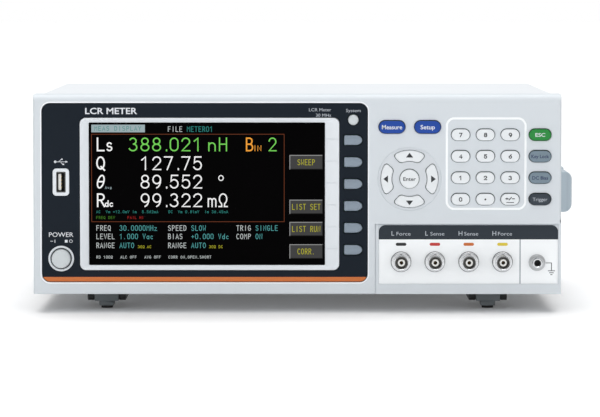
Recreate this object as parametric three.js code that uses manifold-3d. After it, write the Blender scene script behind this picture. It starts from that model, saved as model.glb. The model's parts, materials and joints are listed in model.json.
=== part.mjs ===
// Bench LCR meter: a moulded front with a colour display, a keypad and four coaxial test
// terminals, on a folded steel case with a carrying strap at its side and tilting front feet.
// Millimetres. +X is the user's right, +Y runs from the front to the back and +Z is up.
import * as THREE from "three";
import { mergeVertices } from "three/addons/utils/BufferGeometryUtils.js";
import Module from "manifold-3d";

const wasm = await Module();
wasm.setup();

// ---------------------------------------------------------------- driving dimensions
const GAP = 0.3; // clearance between neighbouring pieces
const OVERCUT = 1; // how far a cutting tool runs past the face it opens

const FRONT = { width: 346, height: 131, depth: 26, wall: 2.5, shell: 3, rim: 5, topRadius: 6 };
const FOOT_HEIGHT = 12; // bench to the underside of the case
const BODY_DEPTH = 320; // front face to the rear edge of the cover
const COVER = { width: 344, height: 130, sheet: 1.2, bend: 3 };
const TRAY_SHEET = 1.5;
const REAR_FACE = BODY_DEPTH - 1; // outside face of the rear wall

// Front panel, seen from the front: x from the middle, y up from the frame's lower edge.
const FASCIA = { x: -60.6, y: 66.65, width: 213.2, height: 117.1, radius: 5.2, thick: 2.2, sunk: 0.7 };
const LEDGE = { left: -164, right: 45, low: 11.5, high: 122, front: -3.2 };
const SCREEN = { x: -58.9, y: 65.75, width: 154.2, height: 93.1 };
const SCREEN_FRAME = { x: -57.45, y: 65.75, width: 169.9, height: 99.9, radius: 4, thick: 3.9 };
const KEYPAD = { x: 123.65, y: 85.75, width: 50.7, height: 58.5, radius: 4.5, raised: 0.6 };
const DISH = { x: 73.5, y: 75.7, radius: 20.8, depth: 0.5 };
const TERMINAL = { left: 51, top: 46, sunk: 1, thick: 2.5, wall: 2.5, depth: 7.7, cornerRadius: 4.3 };
const TERMINAL_POCKET = { left: 53.4, right: 171.2, low: 6.6, high: 45.4, depth: 0.8 };

const KEY = { proud: 1.7, flange: 1, flangeThick: 1, travel: 1 };
const FUNCTION_KEY = { x: 36.65, width: 12.5, height: 7, top: 101.1, pitch: 14.39, count: 6, nose: 4.5 };
const SYSTEM_KEY = { x: 36.7, y: 114.4, radius: 3.7 };
const MODE_KEY = { y: 109.7, width: 17.6, height: 8.7, measureX: 62, setupX: 85.3 };
const DIGIT_KEY = { x: 106.9, y: 104.6, pitchX: 16.23, pitchY: 14.07, width: 12.5, height: 7.9 };
const SIDE_KEY = { x: 158.95, width: 14.8, height: 7.9 };
const ARROW = { inner: 11.4, outer: 19, innerHalf: 31, outerHalf: 36 };
const ENTER_RADIUS = 6.5;
const POWER = { x: -154.8, y: 23.4, radius: 6.5, flange: 8, proud: 4.5, depth: 14 };
const USB = { x: -154.8, y: 73.6, width: 5.7, height: 13.1, sheet: 0.4, depth: 14, tongue: 1.9 };
const BNC = { y: 21.2, x: [68.1, 90.28, 112.47, 134.65], flange: 6.45, barrel: 4.85, bore: 4.05, length: 9 };
const GROUND = { x: 157.3, y: 20.7, nut: 5.6, tube: 3.5, bore: 2, length: 4.5 };

// Rear wall, seen from behind: x from the middle, y up from the frame's lower edge.
const FAN = { x: -112, y: 66, size: 60, depth: 25, bore: 28, hub: 13, blades: 7 };
const INLET = { x: 138, y: 34, width: 50, height: 30, ear: 9, lip: 2.5 };
const INLET_CAVITY = { width: 24.5, height: 17, depth: 15, corner: 4 };
const PORTS = { x: 18, y: 63, width: 190, height: 78 };

// Carrying strap on the right-hand side, centred at this depth and height on the case.
const STRAP = { y: 165, z: 65, reach: 250, width: 27, cap: 38, out: 11, inside: 5.6, thick: 3.4 };
const GRIP = { length: 110, raised: 1.2 };

// Feet under the case: x from the middle, y from the front face.
const FOOT = { x: 126.7, frontY: 30, rearY: 252, width: 15.9, length: 46, block: 7, boss: 10.2 };
const PAD = { width: 9.8, length: 13, radius: 3.6, fromFront: 9 };
const LEG = { width: 4.4, height: 6.2, pivot: 5, pivotDrop: 3.6, bar: 5, pin: 1.5 };

// The origin is under the middle of the whole object, on the bench.
const FRONTMOST = -(BNC.length + 0.9);
const REARMOST = 326;
const ORIGIN_X = (COVER.width / 2 + STRAP.out - FRONT.width / 2) / 2;
const ORIGIN_Y = (FRONTMOST + REARMOST) / 2;

// ---------------------------------------------------------------- solids
function solidOf(geometry) {
  const bare = geometry.clone();
  bare.deleteAttribute("normal");
  bare.deleteAttribute("uv");
  const merged = mergeVertices(bare, 1e-4);
  return new wasm.Manifold(
    new wasm.Mesh({
      numProp: 3,
      vertProperties: merged.attributes.position.array,
      triVerts: new Uint32Array(merged.index.array),
    }),
  );
}

function geometryOf(solid) {
  const mesh = solid.getMesh();
  const geometry = new THREE.BufferGeometry();
  geometry.setAttribute("position", new THREE.BufferAttribute(mesh.vertProperties, 3));
  geometry.setIndex(new THREE.BufferAttribute(mesh.triVerts, 1));
  geometry.computeVertexNormals();
  return geometry;
}

function join(...pieces) {
  return geometryOf(pieces.map(solidOf).reduce((whole, next) => whole.add(next)));
}

function cut(body, ...tools) {
  return geometryOf(tools.map(solidOf).reduce((rest, tool) => rest.subtract(tool), solidOf(body)));
}

function overlap(...pieces) {
  return geometryOf(pieces.map(solidOf).reduce((common, next) => common.intersect(next)));
}

// ---------------------------------------------------------------- outlines and simple bodies
function roundRect(width, height, radius, x = 0, y = 0) {
  const right = x + width / 2 - radius;
  const left = x - width / 2 + radius;
  const top = y + height / 2 - radius;
  const low = y - height / 2 + radius;
  const quarter = Math.PI / 2;
  return new THREE.Shape()
    .absarc(right, low, radius, -quarter, 0)
    .absarc(right, top, radius, 0, quarter)
    .absarc(left, top, radius, quarter, 2 * quarter)
    .absarc(left, low, radius, 2 * quarter, 3 * quarter)
    .closePath();
}

// A key's outline with half-round ends.
function pill(width, height, x = 0, y = 0) {
  const radius = height / 2;
  const reach = width / 2 - radius;
  return new THREE.Shape()
    .absarc(x + reach, y, radius, -Math.PI / 2, Math.PI / 2)
    .absarc(x - reach, y, radius, Math.PI / 2, 1.5 * Math.PI)
    .closePath();
}

function disc(radius, x = 0, y = 0, sides = 24) {
  const points = Array.from({ length: sides }, (_, index) => {
    const angle = (2 * Math.PI * index) / sides;
    return new THREE.Vector2(x + radius * Math.cos(angle), y + radius * Math.sin(angle));
  });
  return new THREE.Shape(points);
}

function polygon(points) {
  return new THREE.Shape(points.map(([x, y]) => new THREE.Vector2(x, y)));
}

// An outline made solid from z = low to z = high. Each arc gets twice `arcs` steps.
function slab(shape, low, high, arcs = 3) {
  const settings = { depth: high - low, bevelEnabled: false, curveSegments: arcs };
  return new THREE.ExtrudeGeometry(shape, settings).translate(0, 0, low);
}

// A box between two corners.
function block(low, high) {
  const size = high.map((value, axis) => value - low[axis]);
  const middle = high.map((value, axis) => (value + low[axis]) / 2);
  return new THREE.BoxGeometry(...size).translate(...middle);
}

// A body turned about +Z from a profile of [radius, z] pairs that starts and ends on the axis.
function turned(profile, sides) {
  const points = profile.map(([radius, z]) => new THREE.Vector2(radius, z));
  return new THREE.LatheGeometry(points, sides).rotateX(Math.PI / 2);
}

// A rod along +X.
function rodX(radius, x0, x1, y, z, sides = 12) {
  return new THREE.CylinderGeometry(radius, radius, x1 - x0, sides)
    .rotateZ(Math.PI / 2)
    .translate((x0 + x1) / 2, y, z);
}

// A profile drawn as (z, y) and made solid along x, for pieces of the front panel.
function alongX(shape, x0, x1) {
  return slab(shape, 0, x1 - x0).rotateY(-Math.PI / 2).translate(x1, 0, 0);
}

// The tapered plug between a rectangle at z0 and another at z1, each [left, low, right, high].
function taper(rect0, z0, rect1, z1) {
  const ring = ([left, low, right, high], z) => [left, low, z, right, low, z, right, high, z, left, high, z];
  const geometry = new THREE.BufferGeometry();
  const corners = new Float32Array([...ring(rect0, z0), ...ring(rect1, z1)]);
  geometry.setAttribute("position", new THREE.BufferAttribute(corners, 3));
  const faces = [0, 2, 1, 0, 3, 2, 4, 5, 6, 4, 6, 7];
  for (let side = 0; side < 4; side++) {
    const next = (side + 1) % 4;
    faces.push(side, next, next + 4, side, next + 4, side + 4);
  }
  geometry.setIndex(faces);
  return geometry;
}

// Turns a body drawn on a panel (x across, y up, z out of the panel) to face the front or the back.
const facingFront = (geometry) => geometry.rotateX(Math.PI / 2);
const facingBack = (geometry) => geometry.rotateX(Math.PI / 2).rotateZ(Math.PI);

// ---------------------------------------------------------------- finishes
const finish = (color, roughness, metalness = 0) =>
  new THREE.MeshStandardMaterial({ color, roughness, metalness });
const FINISH = {
  shell: finish(0xd6dadd, 0.5),
  fascia: finish(0x252a33, 0.4),
  trim: finish(0xd9dde1, 0.4),
  screen: finish(0x050506, 0.15),
  cover: finish(0xf0f2f4, 0.5),
  steel: finish(0xb9bdc0, 0.4, 0.8),
  nickel: finish(0xd5d5d2, 0.2, 1),
  keyWhite: finish(0xeceeef, 0.6),
  keyGrey: finish(0xaab4be, 0.5),
  keyBlue: finish(0x1c449a, 0.5),
  keyGreen: finish(0x23863c, 0.5),
  keySlate: finish(0x8b9cae, 0.5),
  keyDark: finish(0x3d464e, 0.5),
  footGrey: finish(0x6c7275, 0.7),
  black: finish(0x111214, 0.6),
  strap: finish(0xa3b1bc, 0.6),
  board: finish(0x14562f, 0.6),
};

function piece(parent, name, geometry, material, x = 0, y = 0, z = 0) {
  const mesh = new THREE.Mesh(geometry, material);
  mesh.name = name;
  mesh.position.set(x, y, z);
  parent.add(mesh);
  return mesh;
}

// ---------------------------------------------------------------- key outlines
function functionKeyOutline(grow = 0) {
  const half = FUNCTION_KEY.height / 2 + grow;
  const back = -FUNCTION_KEY.width / 2 - grow;
  const shoulder = FUNCTION_KEY.width / 2 - FUNCTION_KEY.nose;
  return new THREE.Shape()
    .absellipse(shoulder, 0, FUNCTION_KEY.nose + grow, half, -Math.PI / 2, Math.PI / 2)
    .lineTo(back, half)
    .lineTo(back, -half)
    .closePath();
}

// The key for "up": a piece of a ring round the enter key, whose sides lean outwards.
function arrowOutline(grow = 0) {
  const middle = Math.PI / 2;
  const outerHalf = THREE.MathUtils.degToRad(ARROW.outerHalf) + grow / ARROW.outer;
  const innerHalf = THREE.MathUtils.degToRad(ARROW.innerHalf) + grow / ARROW.inner;
  return new THREE.Shape()
    .absarc(0, 0, ARROW.outer + grow, middle - outerHalf, middle + outerHalf)
    .absarc(0, 0, ARROW.inner - grow, middle + innerHalf, middle - innerHalf, true)
    .closePath();
}

const modeKeyOutline = (grow = 0) => pill(MODE_KEY.width + 2 * grow, MODE_KEY.height + 2 * grow);
const digitKeyOutline = (grow = 0) => pill(DIGIT_KEY.width + 2 * grow, DIGIT_KEY.height + 2 * grow);
const sideKeyOutline = (grow = 0) => pill(SIDE_KEY.width + 2 * grow, SIDE_KEY.height + 2 * grow);
const systemKeyOutline = (grow = 0) => disc(SYSTEM_KEY.radius + grow);
const enterKeyOutline = (grow = 0) => disc(ENTER_RADIUS + grow);

// Every key: where it is, its outline, its finish, and the face and back of the wall it goes through.
const WALL = { face: 0, back: -FRONT.wall };
const PAD_WALL = { face: KEYPAD.raised, back: -FRONT.wall };
const DISH_WALL = { face: -DISH.depth, back: -FRONT.wall };
const FASCIA_WALL = { face: -FASCIA.sunk, back: -FASCIA.sunk - FASCIA.thick };
const row = (index) => DIGIT_KEY.y - index * DIGIT_KEY.pitchY;

function keyList() {
  const keys = [];
  const add = (name, x, y, outline, material, wall, turn = 0) => {
    keys.push({ name, x, y, outline, material, wall, turn });
  };
  add("system_key", SYSTEM_KEY.x, SYSTEM_KEY.y, systemKeyOutline, FINISH.keyGrey, FASCIA_WALL);
  add("measure_key", MODE_KEY.measureX, MODE_KEY.y, modeKeyOutline, FINISH.keyBlue, WALL);
  add("setup_key", MODE_KEY.setupX, MODE_KEY.y, modeKeyOutline, FINISH.keyBlue, WALL);
  add("enter_key", DISH.x, DISH.y, enterKeyOutline, FINISH.keyWhite, DISH_WALL);
  add("escape_key", SIDE_KEY.x, row(0), sideKeyOutline, FINISH.keyGreen, WALL);
  add("lock_key", SIDE_KEY.x, row(1), sideKeyOutline, FINISH.keySlate, WALL);
  add("bias_key", SIDE_KEY.x, row(2), sideKeyOutline, FINISH.keySlate, WALL);
  add("trigger_key", SIDE_KEY.x, row(3), sideKeyOutline, FINISH.keyDark, WALL);
  for (let index = 0; index < FUNCTION_KEY.count; index++) {
    const y = FUNCTION_KEY.top - index * FUNCTION_KEY.pitch;
    const name = `function_key_${index + 1}`;
    add(name, FUNCTION_KEY.x, y, functionKeyOutline, FINISH.keyGrey, FASCIA_WALL);
  }
  const digits = ["7", "8", "9", "4", "5", "6", "1", "2", "3", "0", "point", "sign"];
  digits.forEach((label, index) => {
    const x = DIGIT_KEY.x + (index % 3) * DIGIT_KEY.pitchX;
    const y = row(Math.floor(index / 3));
    add(`digit_key_${label}`, x, y, digitKeyOutline, FINISH.keyWhite, PAD_WALL);
  });
  ["up", "left", "down", "right"].forEach((way, index) => {
    const turn = (index * Math.PI) / 2;
    add(`arrow_key_${way}`, DISH.x, DISH.y, arrowOutline, FINISH.keyWhite, DISH_WALL, turn);
  });
  return keys;
}

// A key cap with the flange that keeps it behind its panel.
function keyBody({ outline, wall }) {
  const flangeFront = wall.back - GAP;
  return join(
    slab(outline(-GAP), flangeFront - KEY.flangeThick, wall.face + KEY.proud),
    slab(outline(KEY.flange), flangeFront - KEY.flangeThick, flangeFront),
  );
}

// The hole that a key goes through.
function keyHole({ x, y, outline, turn }) {
  return slab(outline(), -FRONT.rim - OVERCUT, KEYPAD.raised + OVERCUT).rotateZ(turn).translate(x, y, 0);
}

const KEYS = keyList();

// ---------------------------------------------------------------- front panel
function frontFrame() {
  const { width, height, depth, wall, shell, rim, topRadius } = FRONT;
  const lowRadius = 1.2;
  const sideRadius = 2;
  const side = new THREE.Shape()
    .moveTo(-depth, height)
    .lineTo(-depth, 0)
    .absarc(-lowRadius, lowRadius, lowRadius, -Math.PI / 2, 0)
    .absarc(-topRadius, height - topRadius, topRadius, 0, Math.PI / 2)
    .closePath();
  const plan = new THREE.Shape()
    .moveTo(-width / 2, -depth)
    .lineTo(width / 2, -depth)
    .absarc(width / 2 - sideRadius, -sideRadius, sideRadius, 0, Math.PI / 2)
    .absarc(-width / 2 + sideRadius, -sideRadius, sideRadius, Math.PI / 2, Math.PI)
    .closePath();
  const outside = overlap(
    alongX(side, -width / 2, width / 2),
    slab(plan, -height - OVERCUT, OVERCUT, 2).rotateX(Math.PI / 2),
  );
  const keypad = slab(
    roundRect(KEYPAD.width, KEYPAD.height, KEYPAD.radius, KEYPAD.x, KEYPAD.y),
    -wall / 2,
    KEYPAD.raised,
  );
  const insideX = width / 2 - shell;
  const inside = block([-insideX, shell, -depth - OVERCUT], [insideX, height - shell, -rim]);
  const behindKeys = block([48.5, 49, -rim - OVERCUT], [168.5, 121.5, -wall]);
  const fasciaSeat = slab(
    roundRect(FASCIA.width + 2 * GAP, FASCIA.height + 2 * GAP, FASCIA.radius, FASCIA.x, FASCIA.y),
    LEDGE.front,
    OVERCUT,
  );
  const fasciaOpening = block([LEDGE.left, LEDGE.low, -rim - OVERCUT], [LEDGE.right, LEDGE.high, OVERCUT]);
  const right = width / 2 + OVERCUT;
  const seatLow = [TERMINAL.left, -OVERCUT, -TERMINAL.depth - GAP];
  const terminalSeat = block(seatLow, [right, TERMINAL.top, OVERCUT]);
  const { cornerRadius } = TERMINAL;
  const cornerX = width / 2 - cornerRadius;
  const corner = new THREE.Shape()
    .moveTo(right, TERMINAL.top - OVERCUT)
    .lineTo(cornerX, TERMINAL.top - OVERCUT)
    .absarc(cornerX, TERMINAL.top + cornerRadius, cornerRadius, -Math.PI / 2, 0)
    .lineTo(right, TERMINAL.top + cornerRadius)
    .closePath();
  const dish = slab(disc(DISH.radius, DISH.x, DISH.y, 48), -DISH.depth, OVERCUT);
  return cut(
    join(outside, keypad),
    inside,
    behindKeys,
    fasciaSeat,
    fasciaOpening,
    terminalSeat,
    slab(corner, -TERMINAL.sunk, OVERCUT),
    dish,
    ...KEYS.filter(({ wall: through }) => through !== FASCIA_WALL).map(keyHole),
  );
}

function displayFascia() {
  const { face, back } = FASCIA_WALL;
  const plate = slab(roundRect(FASCIA.width, FASCIA.height, FASCIA.radius, FASCIA.x, FASCIA.y), back, face);
  const through = (shape) => slab(shape, back - OVERCUT, face + OVERCUT);
  const { x, y, width, height, radius } = SCREEN_FRAME;
  return cut(
    plate,
    through(roundRect(width + 2 * GAP, height + 2 * GAP, radius, x, y)),
    through(disc(POWER.radius + GAP, POWER.x, POWER.y)),
    through(roundRect(USB.width + 2 * GAP, USB.height + 2 * GAP, 0.5, USB.x, USB.y)),
    ...KEYS.filter(({ wall }) => wall === FASCIA_WALL).map(keyHole),
  );
}

// A bevelled frame that falls away to the glass of the display.
function screenFrame() {
  const front = FASCIA_WALL.face + 0.4;
  const back = front - SCREEN_FRAME.thick;
  const edge = 0.8;
  const { x, y, width, height, radius } = SCREEN_FRAME;
  const outer = [x - width / 2 + edge, y - height / 2 + edge, x + width / 2 - edge, y + height / 2 - edge];
  const inner = [
    SCREEN.x - SCREEN.width / 2,
    SCREEN.y - SCREEN.height / 2,
    SCREEN.x + SCREEN.width / 2,
    SCREEN.y + SCREEN.height / 2,
  ];
  const bevelFloor = front - 2.4;
  return cut(
    slab(roundRect(width, height, radius, x, y), back, front),
    taper(inner, bevelFloor, outer, front + 0.01),
    block([inner[0], inner[1], back - OVERCUT], [inner[2], inner[3], front]),
  );
}

function lcdModule() {
  const front = FASCIA_WALL.face + 0.4 - SCREEN_FRAME.thick - GAP;
  const width = 164.9;
  const height = 99.6;
  const thick = 5.7;
  const tail = block([-35, -height / 2 + 12, -thick - 3], [35, -height / 2 + 40, -thick / 2]);
  return join(block([-width / 2, -height / 2, -thick], [width / 2, height / 2, 0]), tail).translate(
    SCREEN.x,
    SCREEN.y,
    front,
  );
}

// The board behind the keys, with the tactile switches' plate, cut to clear the display.
function keyBoard() {
  const front = -FRONT.rim - 0.5;
  const outline = polygon([
    [28.5, 21],
    [47, 21],
    [47, 52],
    [168, 52],
    [168, 121],
    [28.5, 121],
  ]);
  const cableHeader = block([100, 88, front - 7], [140, 94, front - 1]);
  return join(slab(outline, front - 1.6, front), cableHeader);
}

// A round cap on a long plunger, with a flange that stops it behind the fascia.
function powerButton() {
  const front = FASCIA_WALL.face + POWER.proud;
  const flange = FASCIA_WALL.back - GAP;
  const sides = 24;
  return turned(
    [
      [0, flange - POWER.depth],
      [3, flange - POWER.depth],
      [3, flange - 1.5],
      [POWER.flange, flange - 1.5],
      [POWER.flange, flange],
      [POWER.radius - GAP, flange],
      [POWER.radius - GAP, front - 0.8],
      [POWER.radius - 1.1, front],
      [0, front],
    ],
    sides,
  );
}

// A type A socket standing upright: a bent sheet shell round a contact tongue.
function usbSocket() {
  const { width, height, sheet, depth, tongue } = USB;
  const front = FASCIA_WALL.face - 0.2;
  const outside = block([-width / 2, -height / 2, front - depth], [width / 2, height / 2, front]);
  const hollow = block(
    [-width / 2 + sheet, -height / 2 + sheet, front - depth + 3],
    [width / 2 - sheet, height / 2 - sheet, front + OVERCUT],
  );
  const bladeX = -width / 2 + 1;
  const blade = block(
    [bladeX, -height / 2 + 1, front - depth + 2],
    [bladeX + tongue, height / 2 - 1, front - 2],
  );
  return join(cut(outside, hollow), blade);
}

// ---------------------------------------------------------------- test terminals
// The moulding at the lower right corner, set back a little, with a shallow pocket for its labels.
function terminalPanel() {
  const { left, top, sunk, thick, wall, depth } = TERMINAL;
  const x0 = left + GAP;
  const x1 = FRONT.width / 2;
  const y1 = top - GAP;
  const plate = block([x0, 0, -sunk - thick], [x1, y1, -sunk]);
  const sideWall = block([x1 - wall, 0, -depth], [x1, y1, -sunk - 1]);
  const floorWall = block([x0, 0, -depth], [x1, wall, -sunk - 1]);
  const pocket = block(
    [TERMINAL_POCKET.left, TERMINAL_POCKET.low, -sunk - TERMINAL_POCKET.depth],
    [TERMINAL_POCKET.right, TERMINAL_POCKET.high, OVERCUT],
  );
  const hole = (radius, x, y) => slab(disc(radius, x, y), -sunk - thick - OVERCUT, OVERCUT);
  return cut(
    join(plate, sideWall, floorWall),
    pocket,
    ...BNC.x.map((x) => hole(BNC.barrel + GAP, x, BNC.y)),
    hole(GROUND.tube + GAP, GROUND.x, GROUND.y),
  );
}

const POCKET_FLOOR = -TERMINAL.sunk - TERMINAL_POCKET.depth;

// A coaxial jack: flange on the panel, barrel with two bayonet studs, insulator in the middle.
function bncJack() {
  const seat = POCKET_FLOOR + GAP;
  const face = seat + 2.4;
  const end = face + BNC.length;
  const cavity = end - 7.5;
  const insulator = 2.4;
  const tailRadius = 4.4;
  const body = turned(
    [
      [0, seat - 20],
      [1, seat - 20],
      [1, seat - 15],
      [tailRadius, seat - 15],
      [tailRadius, seat - 3.5],
      [BNC.barrel, seat - 3.5],
      [BNC.barrel, seat],
      [BNC.flange, seat],
      [BNC.flange, face],
      [BNC.barrel, face],
      [BNC.barrel, end],
      [BNC.bore, end],
      [BNC.bore, cavity],
      [insulator, cavity],
      [insulator, end - 1.2],
      [0, end - 1.2],
    ],
    16,
  );
  const studs = rodX(1, -BNC.barrel - 1, -BNC.barrel + 0.5, 0, end - 4.5, 8).rotateZ(Math.PI / 2);
  const opposite = rodX(1, BNC.barrel - 0.5, BNC.barrel + 1, 0, end - 4.5, 8).rotateZ(Math.PI / 2);
  return join(body, studs, opposite);
}

// The earth socket: a threaded tube with a hexagon nut on the panel and a bore for a 4 mm plug.
function groundTerminal() {
  const seat = POCKET_FLOOR + GAP;
  const end = seat + 3 + GROUND.length;
  const tube = turned(
    [
      [0, seat - 16],
      [GROUND.tube, seat - 16],
      [GROUND.tube, end],
      [0, end],
    ],
    16,
  );
  const nut = slab(disc(GROUND.nut, 0, 0, 6), seat, seat + 3);
  return cut(join(tube, nut), slab(disc(GROUND.bore, 0, 0, 16), seat - 12, end + OVERCUT));
}

// ---------------------------------------------------------------- case
// One folded sheet over the top and both sides, with rows of cooling slots.
function topCover() {
  const { width, height, sheet, bend } = COVER;
  const front = FRONT.depth + 0.4;
  const low = 1;
  const outer = new THREE.Shape()
    .moveTo(-width / 2, low)
    .lineTo(width / 2, low)
    .absarc(width / 2 - bend, height - bend, bend, 0, Math.PI / 2)
    .absarc(-width / 2 + bend, height - bend, bend, Math.PI / 2, Math.PI)
    .closePath();
  const insideWidth = width - 2 * sheet;
  const inner = new THREE.Shape()
    .moveTo(-insideWidth / 2, low - OVERCUT)
    .lineTo(insideWidth / 2, low - OVERCUT)
    .absarc(width / 2 - bend, height - bend, bend - sheet, 0, Math.PI / 2)
    .absarc(-width / 2 + bend, height - bend, bend - sheet, Math.PI / 2, Math.PI)
    .closePath();
  const folded = cut(slab(outer, -BODY_DEPTH, -front), slab(inner, -BODY_DEPTH - OVERCUT, -front + OVERCUT));
  const slots = [];
  const slot = { width: 3, height: 20, pitch: 9, count: 10, firstY: 215 };
  for (const z of [34, 106]) {
    for (let index = 0; index < slot.count; index++) {
      const y = slot.firstY + index * slot.pitch;
      slots.push(
        block(
          [-width / 2 - OVERCUT, y, z - slot.height / 2],
          [width / 2 + OVERCUT, y + slot.width, z + slot.height / 2],
        ),
      );
    }
  }
  return cut(facingFront(folded), ...slots);
}

// Horizontal cooling slots that fill a circle, for the fan.
function grilleSlots() {
  const slots = [];
  const pitch = 6.4;
  const slotHeight = 3.4;
  for (let index = -4; index <= 4; index++) {
    const y = index * pitch;
    const reach = Math.sqrt(FAN.bore ** 2 - y ** 2) - 1;
    slots.push(
      block(
        [FAN.x - reach, FAN.y + y - slotHeight / 2, -TRAY_SHEET - OVERCUT],
        [FAN.x + reach, FAN.y + y + slotHeight / 2, OVERCUT],
      ),
    );
  }
  return slots;
}

// Connectors of the interface board: name of the use, middle, size and how far they stand out.
const CONNECTORS = [
  { use: "instrument_bus", x: 62, y: 88, width: 53, height: 13, out: 7 },
  { use: "handler", x: -10, y: 88, width: 54, height: 12.5, out: 6 },
  { use: "serial", x: 76, y: 45, width: 31, height: 12.5, out: 6 },
  { use: "usb_device", x: 38, y: 45, width: 12, height: 11, out: 0.6 },
  { use: "network", x: 10, y: 46, width: 16, height: 13.5, out: 0.6 },
];
const NETWORK_MOUTH = { width: 11.8, height: 8.6, depth: 12 };

// The bottom, the rear wall and the low side and front flanges are one folded sheet.
function chassisTray() {
  const sheet = TRAY_SHEET;
  const halfWidth = COVER.width / 2 - COVER.sheet - GAP;
  const low = 0.5;
  const front = FRONT.depth + 0.6;
  const top = COVER.height - COVER.sheet - GAP;
  const corner = COVER.bend;
  const outline = new THREE.Shape()
    .moveTo(-halfWidth, low)
    .lineTo(halfWidth, low)
    .absarc(halfWidth - corner, top - corner, corner, 0, Math.PI / 2)
    .absarc(-halfWidth + corner, top - corner, corner, Math.PI / 2, Math.PI)
    .closePath();
  const wall = slab(outline, -sheet, 0);
  const openings = CONNECTORS.map(({ x, y, width, height }) =>
    block(
      [x - width / 2 - GAP, y - height / 2 - GAP, -sheet - OVERCUT],
      [x + width / 2 + GAP, y + height / 2 + GAP, OVERCUT],
    ),
  );
  const inletOpening = block(
    [INLET.x - INLET.width / 2 + INLET.ear, INLET.y - INLET.height / 2 + INLET.lip, -sheet - OVERCUT],
    [INLET.x + INLET.width / 2 - INLET.ear, INLET.y + INLET.height / 2 - INLET.lip, OVERCUT],
  );
  const rearWall = facingBack(cut(wall, ...openings, inletOpening, ...grilleSlots()));
  rearWall.translate(0, REAR_FACE, 0);
  const floor = block([-halfWidth, front, low], [halfWidth, REAR_FACE - sheet / 2, low + sheet]);
  const flangeHeight = 14;
  const flange = (x0, y0, x1, y1) => block([x0, y0, low + sheet / 2], [x1, y1, low + flangeHeight]);
  const slots = [];
  for (let index = 0; index < 8; index++) {
    const x = -92 + index * 26;
    slots.push(block([x, 110, low - OVERCUT], [x + 5, 170, low + sheet + OVERCUT]));
  }
  return join(
    rearWall,
    cut(floor, ...slots),
    flange(-halfWidth, front, -halfWidth + sheet, REAR_FACE - sheet / 2),
    flange(halfWidth - sheet, front, halfWidth, REAR_FACE - sheet / 2),
    flange(-halfWidth, front, halfWidth, front + sheet),
  );
}

// ---------------------------------------------------------------- rear and inside
// Mains inlet: a flange, a body through the rear wall and a hollow for the plug.
function acInlet() {
  const { width, height } = INLET;
  const cavityDepth = INLET_CAVITY.depth;
  const flange = slab(roundRect(width, height, 3), GAP, GAP + 3);
  const bodyHalfWidth = width / 2 - INLET.ear - GAP;
  const bodyHalfHeight = height / 2 - INLET.lip - GAP;
  const body = block(
    [-bodyHalfWidth, -bodyHalfHeight, -cavityDepth - 4],
    [bodyHalfWidth, bodyHalfHeight, 1],
  );
  const corner = INLET_CAVITY.corner;
  const halfWidth = INLET_CAVITY.width / 2;
  const halfHeight = INLET_CAVITY.height / 2;
  const cavity = polygon([
    [-halfWidth, -halfHeight],
    [halfWidth, -halfHeight],
    [halfWidth, halfHeight - corner],
    [halfWidth - corner, halfHeight],
    [-halfWidth + corner, halfHeight],
    [-halfWidth, halfHeight - corner],
  ]);
  return cut(join(flange, body), slab(cavity, -cavityDepth, GAP + 3 + OVERCUT));
}

function fanFrame() {
  const { size, depth, bore, hub } = FAN;
  const front = -TRAY_SHEET - GAP;
  const back = front - depth;
  const strutDepth = 3;
  const ring = cut(
    slab(roundRect(size, size, 4), back, front),
    slab(disc(bore), back - OVERCUT, front + OVERCUT),
  );
  const motor = slab(disc(hub), back, back + strutDepth);
  const struts = [0, 1, 2].map((index) => {
    const strut = block([0, -1.5, back], [bore + 1, 1.5, back + strutDepth]);
    return strut.rotateZ((index * 2 * Math.PI) / 3 + Math.PI / 6);
  });
  return join(ring, motor, ...struts);
}

// The hub and its pitched blades turn on the fan's own axis.
function fanRotor() {
  const { depth, bore, hub, blades } = FAN;
  const front = -TRAY_SHEET - GAP - 2;
  const back = front - depth + 8;
  const middle = (front + back) / 2;
  const length = bore - 1.5;
  const pitch = THREE.MathUtils.degToRad(40);
  const made = [slab(disc(hub), back, front)];
  for (let index = 0; index < blades; index++) {
    const blade = block([hub - 2, -9, -0.8], [length, 9, 0.8]);
    made.push(blade.rotateX(pitch).translate(0, 0, middle).rotateZ((index * 2 * Math.PI) / blades));
  }
  return join(...made);
}

// The board behind the rear wall with the data connectors soldered to it.
function interfaceBoard() {
  const boardBack = -16;
  const board = block(
    [PORTS.x - PORTS.width / 2 + 10, PORTS.y - PORTS.height / 2, boardBack - 1.6],
    [PORTS.x + PORTS.width / 2 - 10, PORTS.y + PORTS.height / 2, boardBack],
  );
  const sockets = CONNECTORS.map(({ x, y, width, height, out }) =>
    block([x - width / 2, y - height / 2, boardBack - 0.5], [x + width / 2, y + height / 2, out]),
  );
  const network = CONNECTORS.find(({ use }) => use === "network");
  const { width, height, depth } = NETWORK_MOUTH;
  const mouth = block([-width / 2, -height / 2, -depth], [width / 2, height / 2, OVERCUT]);
  return cut(join(board, ...sockets), mouth.translate(network.x, network.y, network.out));
}

// The measuring board on its pillars, with its screening can and heat sink.
function mainBoard() {
  const top = 10;
  const board = block([-155, 70, top - 1.6], [60, 285, top]);
  const can = block([-60, 75, top - 0.5], [50, 165, top + 22]);
  const heatSink = block([-140, 90, top - 0.5], [-100, 150, top + 30]);
  const pillars = [];
  for (const x of [-150, 55]) {
    for (const y of [75, 280]) {
      pillars.push(slab(disc(3, x, y, 8), 2.3, top - 1));
    }
  }
  return join(board, can, heatSink, ...pillars);
}

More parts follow.
